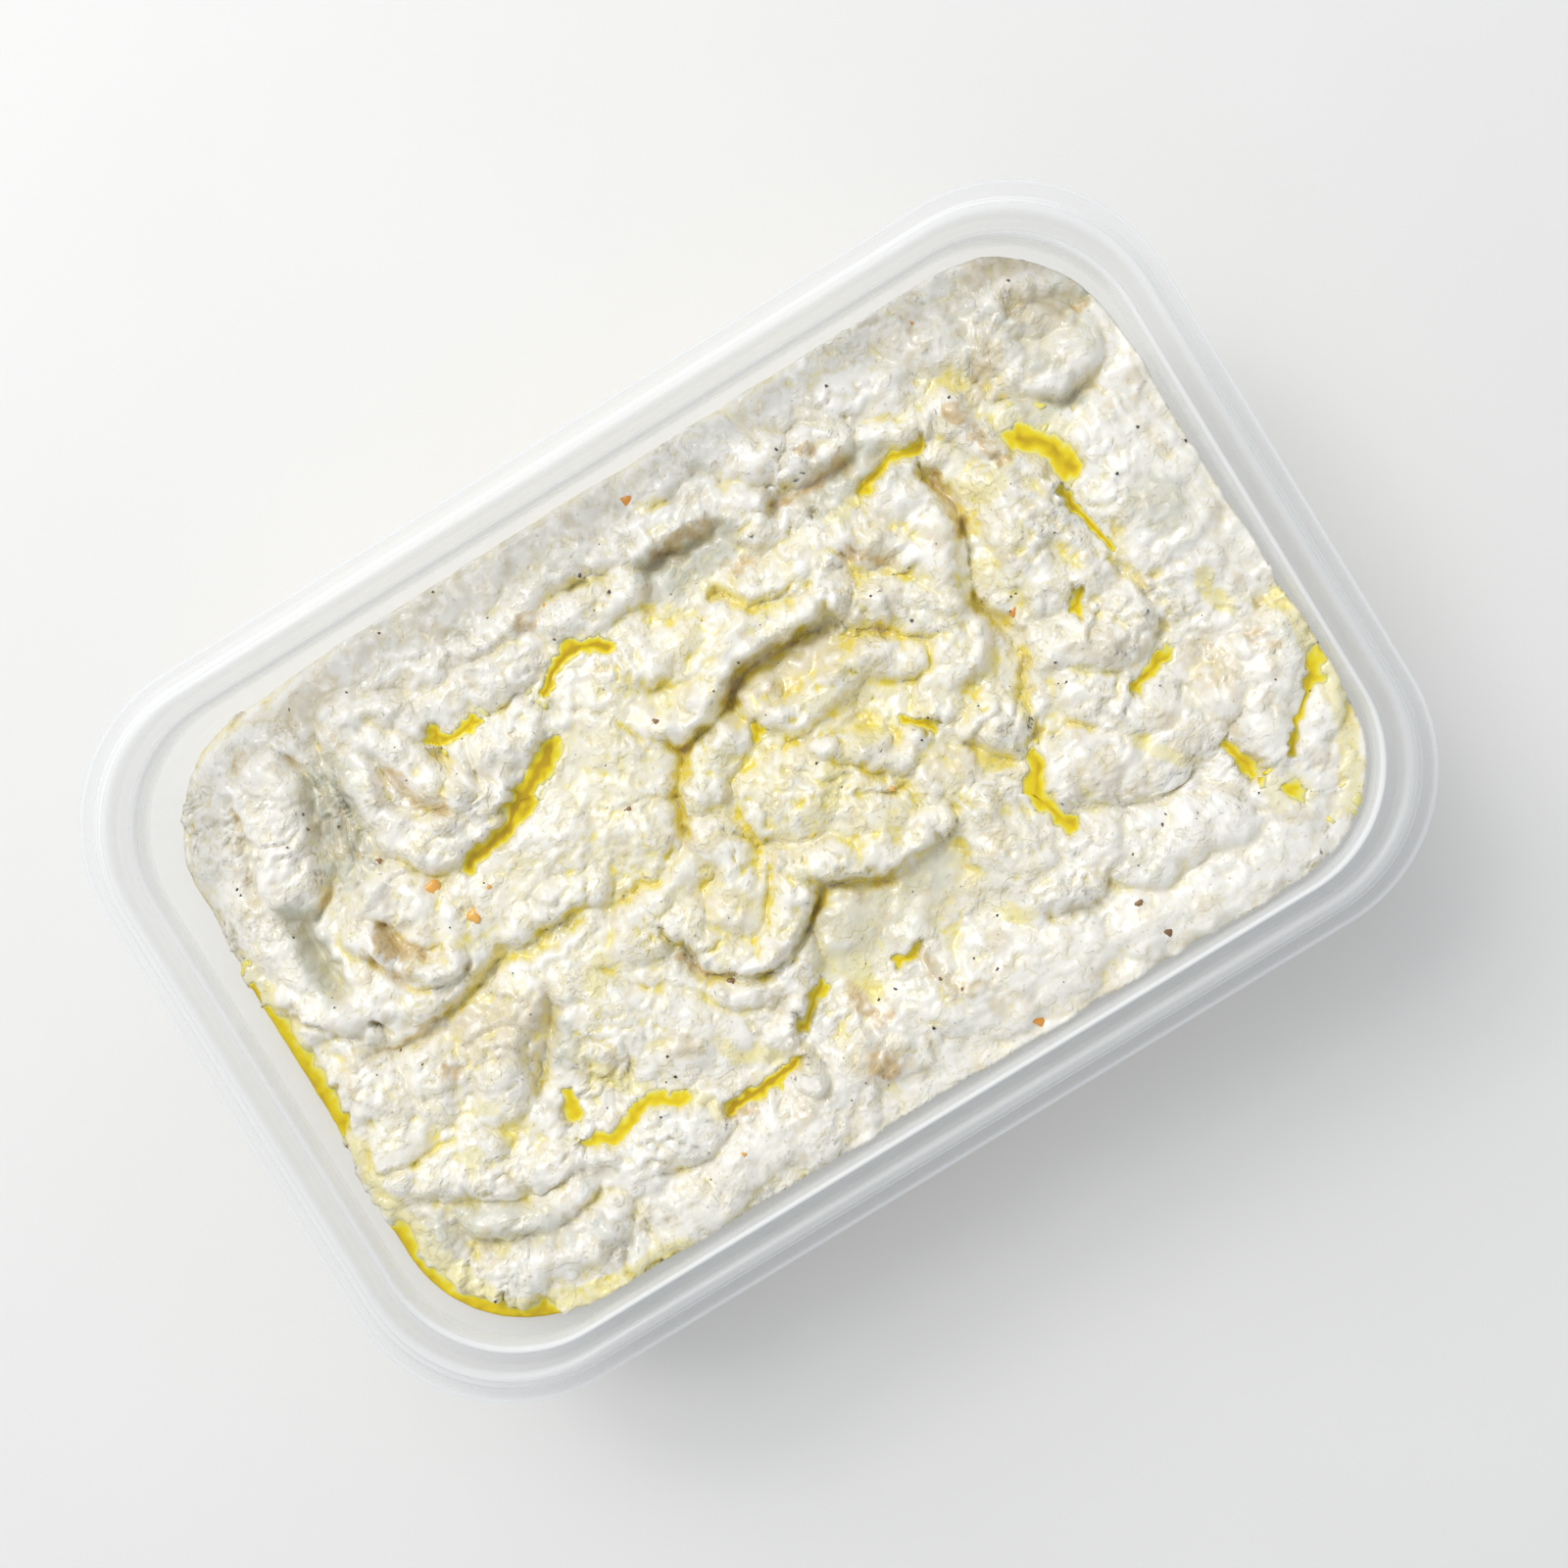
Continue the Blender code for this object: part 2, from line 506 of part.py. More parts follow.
def pool_places():
    """Each pool with its line, its half width, its depth and its level."""
    places = []
    for name, half_width, depth, *points in POOLS:
        line = smooth_line(points)
        level = hollow_level(line, half_width * MM)
        places.append((name, line, half_width * MM, depth * MM, level))
    return places


def surface(x, y, pools):
    """The height of the dip at each place."""
    height = rolled(x, y)
    for half_width, depth, *points in HOLLOWS:
        distance, _ = from_line(x, y, smooth_line(points))
        share = np.clip(1 - (distance / (HOLLOW_REACH * half_width * MM)) ** 2, 0, None)
        height = height - HOLLOW_DEPTH * depth * MM * share**HOLLOW_SHAPE
    for _, line, half_width, depth, level in pools:
        height = carve(height, x, y, line, half_width, depth, level)
    return height


def dip_inset(height):
    """Inset of the dip's side at a height: inside the wall, with the gap."""
    return wall_inset(height) + WALL / math.cos(TAPER) + GAP


def to_outline(x, y, inset):
    """Places of a rectangle stretched onto the rounded rectangle at an inset, from the middle out."""
    radius = corner_radius(inset)
    half = np.array([LENGTH / 2 - inset, WIDTH / 2 - inset])
    share = np.maximum(np.maximum(np.abs(x), np.abs(y)), 1e-9)
    edge_x, edge_y = x / share * half[0], y / share * half[1]
    over_x = np.maximum(np.abs(edge_x) - (half[0] - radius), 0)
    over_y = np.maximum(np.abs(edge_y) - (half[1] - radius), 0)
    # A corner's arc is met by drawing the rectangle's corner in towards the corner's own centre
    reach = np.hypot(over_x, over_y)
    pull = np.where(reach > radius, radius / np.maximum(reach, 1e-9), 1.0)
    edge_x = np.sign(edge_x) * (np.abs(edge_x) - over_x * (1 - pull))
    edge_y = np.sign(edge_y) * (np.abs(edge_y) - over_y * (1 - pull))
    return edge_x * share, edge_y * share


def make_dip(collection, look, pools):
    """A grid drawn to the outline and raised to the surface, with its side and base below."""
    count_x = round(LENGTH / GRID_STEP)
    count_y = round(WIDTH / GRID_STEP)
    bm = bmesh.new()
    bmesh.ops.create_grid(bm, x_segments=count_x, y_segments=count_y, size=1.0)
    places = np.array([v.co for v in bm.verts])
    x, y = to_outline(places[:, 0], places[:, 1], dip_inset(GROUND))
    height = surface(x, y, pools)
    rim = np.maximum(np.abs(places[:, 0]), np.abs(places[:, 1]))
    # The wall leans out, so the edge of the surface moves out as it rises
    lean = (height - GROUND) * math.tan(TAPER) * rim**EDGE_LEAN
    size = np.maximum(np.hypot(x, y), 1e-9)
    for vert, px, py, pz, out in zip(bm.verts, x, y, height, lean / size):
        vert.co = (px * (1 + out), py * (1 + out), pz)
    side_rings(bm)
    dip = object_from_bmesh("dip", bm, collection, look)
    fewer = dip.modifiers.new("fewer", "DECIMATE")
    fewer.ratio = DIP_TRIANGLES / sum(len(p.vertices) - 2 for p in dip.data.polygons)
    apply_modifiers(dip)
    return dip


def side_rings(bm):
    """Extrude the surface's edge down the wall and round the foot, then close the base."""
    foot = FOOT_RADIUS - WALL - GAP
    start = FOOT_RADIUS * (1 - math.sin(TAPER))
    rings = foot_arc(foot, dip_inset(start), start, 3)
    floor = FOOT_RECESS + WALL + GAP
    rings = [(inset, max(height, floor)) for inset, height in rings]
    edges = [e for e in bm.edges if e.is_boundary]
    for inset, height in rings:
        made = bmesh.ops.extrude_edge_only(bm, edges=edges)["geom"]
        edges = [g for g in made if isinstance(g, bmesh.types.BMEdge)]
        verts = [g for g in made if isinstance(g, bmesh.types.BMVert)]
        for vert in verts:
            vert.co = (*onto_outline(vert.co.x, vert.co.y, inset), height)
    bmesh.ops.contextual_create(bm, geom=edges)


def onto_outline(px, py, inset):
    """The point of the outline at an inset that lies in the same direction from its corner's centre."""
    radius = corner_radius(inset)
    half_x, half_y = LENGTH / 2 - inset, WIDTH / 2 - inset
    over_x = max(abs(px) - (half_x - radius), 0)
    over_y = max(abs(py) - (half_y - radius), 0)
    if over_x and over_y:
        reach = radius / math.hypot(over_x, over_y)
        x, y = half_x - radius + over_x * reach, half_y - radius + over_y * reach
    elif over_x:
        x, y = half_x, abs(py)
    else:
        x, y = abs(px), half_y
    return math.copysign(x, px), math.copysign(y, py)


def add_bits(dip):
    """Fuse the flakes and seeds that show from a step away into the dip."""
    bits = new_collection("bits")
    for number, (x, y, radius) in enumerate(BITS):
        _, below, _, _ = dip.ray_cast((x * MM, y * MM, HEIGHT), (0, 0, -1))
        bm = bmesh.new()
        bmesh.ops.create_icosphere(bm, subdivisions=BIT_SUBDIVISIONS, radius=radius * MM)
        for vert in bm.verts:
            vert.co.y *= BIT_BREADTH
            vert.co.z *= BIT_THICKNESS
            vert.co += below
        object_from_bmesh(f"bit_{number}", bm, bits)
    join = dip.modifiers.new("bits", "BOOLEAN")
    join.operation = "UNION"
    join.operand_type = "COLLECTION"
    join.collection = bits
    join.solver = "MANIFOLD"
    apply_modifiers(dip)
    for bit in list(bits.objects):
        bpy.data.objects.remove(bit, do_unlink=True)
    bpy.data.collections.remove(bits)


def largest_body(obj):
    """Keep only the object's largest connected body."""
    bm = bmesh.new()
    bm.from_mesh(obj.data)
    bodies, seen = [], set()
    for start in bm.faces:
        if start in seen:
            continue
        body, queue = [], [start]
        seen.add(start)
        while queue:
            face = queue.pop()
            body.append(face)
            for edge in face.edges:
                for other in edge.link_faces:
                    if other not in seen:
                        seen.add(other)
                        queue.append(other)
        bodies.append(body)
    # A scrap that the cut leaves beside the pool is dropped
    keep = set(max(bodies, key=lambda body: sum(f.calc_area() for f in body)))
    bmesh.ops.delete(bm, geom=[f for f in bm.faces if f not in keep], context="FACES")
    bm.to_mesh(obj.data)
    bm.free()


def band_outline(line, half_width):
    """The outline of a band with round ends along a line."""
    along = np.gradient(line, axis=0)
    along /= np.linalg.norm(along, axis=1, keepdims=True)
    across = np.stack([-along[:, 1], along[:, 0]], axis=1)
    turn = np.linspace(-math.pi / 2, math.pi / 2, 7)[1:-1, None]
    nose = line[-1] + half_width * (np.cos(turn) * along[-1] + np.sin(turn) * across[-1])
    tail = line[0] + half_width * (-np.cos(turn) * along[0] - np.sin(turn) * across[0])
    right, left = line - half_width * across, line + half_width * across
    return np.concatenate([right, nose, left[::-1], tail])


def prism(name, points, low, high, collection):
    """A flat outline extruded between two heights."""
    bm = bmesh.new()
    face = bm.faces.new([bm.verts.new((px, py, low)) for px, py in points])
    made = bmesh.ops.extrude_face_region(bm, geom=[face])["geom"]
    for vert in (g for g in made if isinstance(g, bmesh.types.BMVert)):
        vert.co.z = high
    return object_from_bmesh(name, bm, collection)


def make_inside(collection):
    """A helper solid between the tub's walls, clear of them, from above its foot to below its rim."""
    bm = bmesh.new()
    rings = []
    for height in (HEIGHT - FOOT_RADIUS, FOOT_RADIUS):
        shore = outline(dip_inset(height) + WALL_CLEARANCE)
        rings.append([bm.verts.new((x, y, height)) for x, y in shore])
    count = len(rings[0])
    for i in range(count):
        j = (i + 1) % count
        bm.faces.new((rings[0][i], rings[0][j], rings[1][j], rings[1][i]))
    bm.faces.new(rings[0])
    bm.faces.new(rings[1])
    return object_from_bmesh("inside", bm, collection)


def boolean(obj, operation, other):
    modifier = obj.modifiers.new(operation.lower(), "BOOLEAN")
    modifier.operation = operation
    modifier.object = other
    modifier.solver = "MANIFOLD"


def make_pools(collection, dip, pools, look):
    """Fill each hollow with oil up to its level, a gap above the dip's surface."""
    cutters = new_collection("cutters")
    raised = dip.copy()
    raised.data = dip.data.copy()
    raised.name = "dip_raised"
    cutters.objects.link(raised)
    raised.location.z = GAP
    inside = make_inside(cutters)
    for name, line, half_width, depth, level in pools:
        outer = band_outline(line, POOL_OVERLAP * half_width)
        pool = prism(name, outer, level - depth - POOL_FLOOR, level, collection)
        pool.data.materials.append(look)
        boolean(pool, "INTERSECT", inside)
        boolean(pool, "DIFFERENCE", raised)
        apply_modifiers(pool)
        largest_body(pool)
    for helper in (raised, inside):
        bpy.data.objects.remove(helper, do_unlink=True)


def main():
    clear_scene()
    parts = new_collection("baba_ganoush")
    plastic = material("plastic", TUB_COLOUR, 0.3, 0.5)
    cream = material("dip", DIP_COLOUR, 0.5)
    oil = material("oil", OIL_COLOUR, 0.1, 0.8)
    make_tub(parts, plastic)
    pools = pool_places()
    dip = make_dip(parts, cream, pools)
    add_bits(dip)
    make_pools(parts, dip, pools, oil)


main()
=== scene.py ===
# %% [markdown]
# # Baba ganoush in its tub
#
# Baba ganoush is roasted aubergine crushed with sesame paste, lemon and garlic. Here it has been
# spooned into a milky plastic tub, and olive oil has run into its creases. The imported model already
# holds the size and the place of every piece. This lesson gives each of them its real surface: a tub
# of thin moulded plastic, a dip with folds, lumps and wet creases, pools of oil, and the flakes and
# specks that lie on top.

# %% Load the fixed frame
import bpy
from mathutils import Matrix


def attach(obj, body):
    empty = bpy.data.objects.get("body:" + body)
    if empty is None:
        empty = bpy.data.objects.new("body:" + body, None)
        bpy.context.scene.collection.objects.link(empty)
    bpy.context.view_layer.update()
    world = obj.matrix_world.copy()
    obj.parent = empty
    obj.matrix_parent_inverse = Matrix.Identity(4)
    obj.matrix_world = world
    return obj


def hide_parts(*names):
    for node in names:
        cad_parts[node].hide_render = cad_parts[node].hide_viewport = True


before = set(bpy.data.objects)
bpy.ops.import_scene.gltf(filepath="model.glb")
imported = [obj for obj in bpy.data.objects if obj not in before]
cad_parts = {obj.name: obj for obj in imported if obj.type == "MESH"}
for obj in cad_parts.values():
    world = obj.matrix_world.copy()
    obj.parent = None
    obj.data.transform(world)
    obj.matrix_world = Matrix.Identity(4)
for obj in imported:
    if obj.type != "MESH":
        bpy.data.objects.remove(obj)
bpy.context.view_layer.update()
print("nodes:", sorted(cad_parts))

# %% Units and imports
import math

import bpy
import mathutils
import numpy as np

MM = 0.001

# %% [markdown]
# ## The camera
#
# The photograph looks almost straight down, with the tub turned by a third of a right angle. A lens of
# 60 mm on a 36 mm sensor gives the same perspective: near enough that the far walls lean outwards.

# %% Camera
camera_data = bpy.data.cameras.new("camera")
camera_data.lens = 60
camera_data.sensor_width = 36
camera = bpy.data.objects.new("camera", camera_data)
camera.location = (0.0141, 0.0117, 0.4113)
camera.rotation_euler = [math.radians(angle) for angle in (-2.412, 0.335, -31.566)]
bpy.context.scene.collection.objects.link(camera)
bpy.context.scene.camera = camera
print("camera", round(camera.location.z / MM), "mm above the table")

# %% [markdown]
# ## Smooth random fields
#
# Nothing about a spooned dip is regular, so most of its surface comes from noise. All of the noise here
# is made from lattices of seeded random numbers, read at whole arrays of points at once. Plain noise
# gives soft hills, a fractal adds smaller hills to them, and pebbles gives separate round domes.

# %% Noise
def smooth_max(a, b, softness):
    """The larger of two heights, with the corner between them rounded: a quadratic blend."""
    mix = np.clip(0.5 + 0.5 * (a - b) / softness, 0, 1)
    return b + (a - b) * mix + softness * mix * (1 - mix)


def smooth_min(a, b, softness):
    """The smaller of two heights, rounded in the same way."""
    return -smooth_max(-a, -b, softness)


def step(low, high, value):
    """0 below low, 1 above high, and 3t^2 - 2t^3 between them."""
    t = np.clip((value - low) / (high - low), 0, 1)
    return t * t * (3 - 2 * t)


def value_noise(x, y, cell, seed, size=64):
    """Random heights from -1 to 1 on a square lattice, blended smoothly between its points."""
    lattice = np.random.default_rng(seed).uniform(-1, 1, (size, size))
    u, v = x / cell, y / cell
    i, j = np.floor(u).astype(int), np.floor(v).astype(int)
    s, t = u - i, v - j
    s, t = s * s * (3 - 2 * s), t * t * (3 - 2 * t)
    low = lattice[i % size, j % size] * (1 - s) + lattice[(i + 1) % size, j % size] * s
    high = lattice[i % size, (j + 1) % size] * (1 - s) + lattice[(i + 1) % size, (j + 1) % size] * s
    return low * (1 - t) + high * t


def noise(x, y, cell, seed, size=128):
    """Gradient noise, about -1 to 1: random slopes at lattice points, blended by 6t^5 - 15t^4 + 10t^3."""
    angle = np.random.default_rng(seed).uniform(0, 2 * math.pi, (size, size))
    slope_x, slope_y = np.cos(angle), np.sin(angle)
    u, v = x / cell + 0.37 * y / cell, y / cell - 0.37 * x / cell
    i, j = np.floor(u).astype(int), np.floor(v).astype(int)
    s, t = u - i, v - j
    fade_s = s**3 * (s * (6 * s - 15) + 10)
    fade_t = t**3 * (t * (6 * t - 15) + 10)
    corner = {}
    for di in (0, 1):
        for dj in (0, 1):
            a, b = (i + di) % size, (j + dj) % size
            corner[di, dj] = slope_x[a, b] * (s - di) + slope_y[a, b] * (t - dj)
    low = corner[0, 0] * (1 - fade_s) + corner[1, 0] * fade_s
    high = corner[0, 1] * (1 - fade_s) + corner[1, 1] * fade_s
    return 1.5 * (low * (1 - fade_t) + high * fade_t)


def fractal(x, y, cell, octaves, seed, keep=0.5):
    """Noise added to itself at half the cell and keep times the height, octave by octave."""
    total = np.zeros_like(x)
    for octave in range(octaves):
        total += keep**octave * noise(x, y, cell / 2**octave, seed + octave)
    return total


def pebbles(x, y, cell, seed, size=64):
    """Round domes, one in each cell of a lattice, at random places and of random sizes, from 0 to 1."""
    draw = np.random.default_rng(seed)
    place_x = draw.uniform(0.1, 0.9, (size, size))
    place_y = draw.uniform(0.1, 0.9, (size, size))
    radius = draw.uniform(0.55, 1.0, (size, size))
    u, v = x / cell, y / cell
    i, j = np.floor(u).astype(int), np.floor(v).astype(int)
    height = np.zeros_like(u)
    for di in (-1, 0, 1):
        for dj in (-1, 0, 1):
            a, b = (i + di) % size, (j + dj) % size
            across = np.hypot(u - i - di - place_x[a, b], v - j - dj - place_y[a, b])
            reach = radius[a, b]
            dome = reach * np.clip(1 - (across / reach) ** 2, 0, None) ** 0.8
            height = smooth_max(height, dome, 0.12)
    return height


probe = np.linspace(0, 50, 2000)
probed = noise(probe, probe, 3, 1)
print("noise runs from", round(probed.min(), 2), "to", round(probed.max(), 2))

# %% [markdown]
# ## Lines drawn by the spoon
#
# Folds, creases and pools all follow lines. A few points are enough for each line, with a Catmull-Rom
# curve through them. A second function says, for every place on the dip, how far the line is, on which
# side it lies, and how far along it the nearest point is.

# %% Curves and distances
def smooth_line(points, spacing=0.8):
    """A Catmull-Rom curve through points given in mm, as an array in metres."""
    p = np.array(points, float)
    p = np.vstack([2 * p[0] - p[1], p, 2 * p[-1] - p[-2]])
    line = []
    for a, b, c, d in zip(p, p[1:], p[2:], p[3:]):
        steps = max(1, math.ceil(np.linalg.norm(c - b) / spacing))
        t = (np.arange(steps) / steps)[:, None]
        line.append(b + 0.5 * t * (c - a + t * (2 * a - 5 * b + 4 * c - d + t * (3 * (b - c) + d - a))))
    line.append(p[-2:-1])
    return np.concatenate(line) * MM


def from_line(x, y, line):
    """Distance from a line, the side (1 at its right hand, -1 at its left) and the way along it."""
    nearest = np.full(np.shape(x), np.inf)
    side = np.zeros(np.shape(x))
    way = np.zeros(np.shape(x))
    walked = 0.0
    for (ax, ay), (bx, by) in zip(line, line[1:]):
        dx, dy = bx - ax, by - ay
        length = math.hypot(dx, dy)
        along = np.clip(((x - ax) * dx + (y - ay) * dy) / length**2, 0, 1)
        px, py = x - ax - along * dx, y - ay - along * dy
        distance = np.hypot(px, py)
        closer = distance < nearest
        side = np.where(closer, (px * dy - py * dx) / (length * np.maximum(distance, 1e-9)), side)
        way = np.where(closer, walked + along * length, way)
        nearest = np.where(closer, distance, nearest)
        walked += length
    return nearest, side, way


def beside(x, y, line, reach):
    """The places that lie within reach of the box round a line."""
    low, high = line.min(axis=0) - reach, line.max(axis=0) + reach
    return np.flatnonzero((x > low[0]) & (x < high[0]) & (y > low[1]) & (y < high[1]))


print("a line of three points becomes", len(smooth_line([(0, 0), (5, 2), (9, 9)])), "points")

# %% [markdown]
# ## The outline of the tub
#
# From above, the tub is a rectangle with round corners, at the rim as well as at the foot. One function
# gives that outline at any distance in from the rim. The tub itself, the edge of the dip and the oil
# along the wall all use it, so they fit each other.

# %% Outline and wall
LENGTH, WIDTH, HEIGHT = 174 * MM, 117 * MM, 50 * MM
WALL = 0.8 * MM
TAPER = math.radians(8)
RIM_CORNER = 25 * MM
FOOT_RADIUS = 8 * MM
FOOT_WIDTH = 4 * MM
FOOT_RECESS = 0.5 * MM

# The rim's underside from its outer edge inwards: how far in, and how far below the top (mm)
RIM_PROFILE = (
    (0.0, 5.5),
    (2.9, 5.3),
    (3.35, 1.7),
    (3.8, 0.8),
    (4.4, 0.8),
    (4.6, 1.4),
    (5.3, 5.7),
    (6.2, 6.3),
    (6.5, 7.2),
)


def corner_radius(inset):
    """The corners tighten by 0.7 mm for each mm of rim, and more slowly down the wall."""
    rim_inset = RIM_PROFILE[-1][0] * MM
    return RIM_CORNER - 0.7 * np.minimum(inset, rim_inset) - 0.35 * np.maximum(inset - rim_inset, 0.0)


def wall_inset(height):
    """Inset of the wall's outer face at a height above the rounded foot."""
    top_inset, top_drop = RIM_PROFILE[-1]
    return top_inset * MM + (HEIGHT - top_drop * MM - height) * math.tan(TAPER)


def wall_inner(height):
    """Inset of the wall's inner face."""
    return wall_inset(height) + WALL / math.cos(TAPER)


def foot_arc(radius, inset_at_top, height_at_top, steps):
    """The rounded foot under a leaning wall: insets and heights, from the wall down to the flat."""
    lean = np.linspace(TAPER, math.pi / 2, steps + 1)
    inset = inset_at_top + radius * (math.cos(TAPER) - np.cos(lean))
    height = height_at_top - radius * (np.sin(lean) - math.sin(TAPER))
    return np.stack([inset, height], axis=1)


print("the wall's inner face is", round(wall_inner(38 * MM) / MM, 2), "mm in at a height of 38 mm")

# %% [markdown]
# ## How the dip was spooned in
#
# Each stroke of the spoon leaves a roll of dip with a gentle back and a steeper front. The table holds
# one roll a row. The rows are grouped by where they lie, and a row's points follow the crest so that
# the steep front is at its right hand.

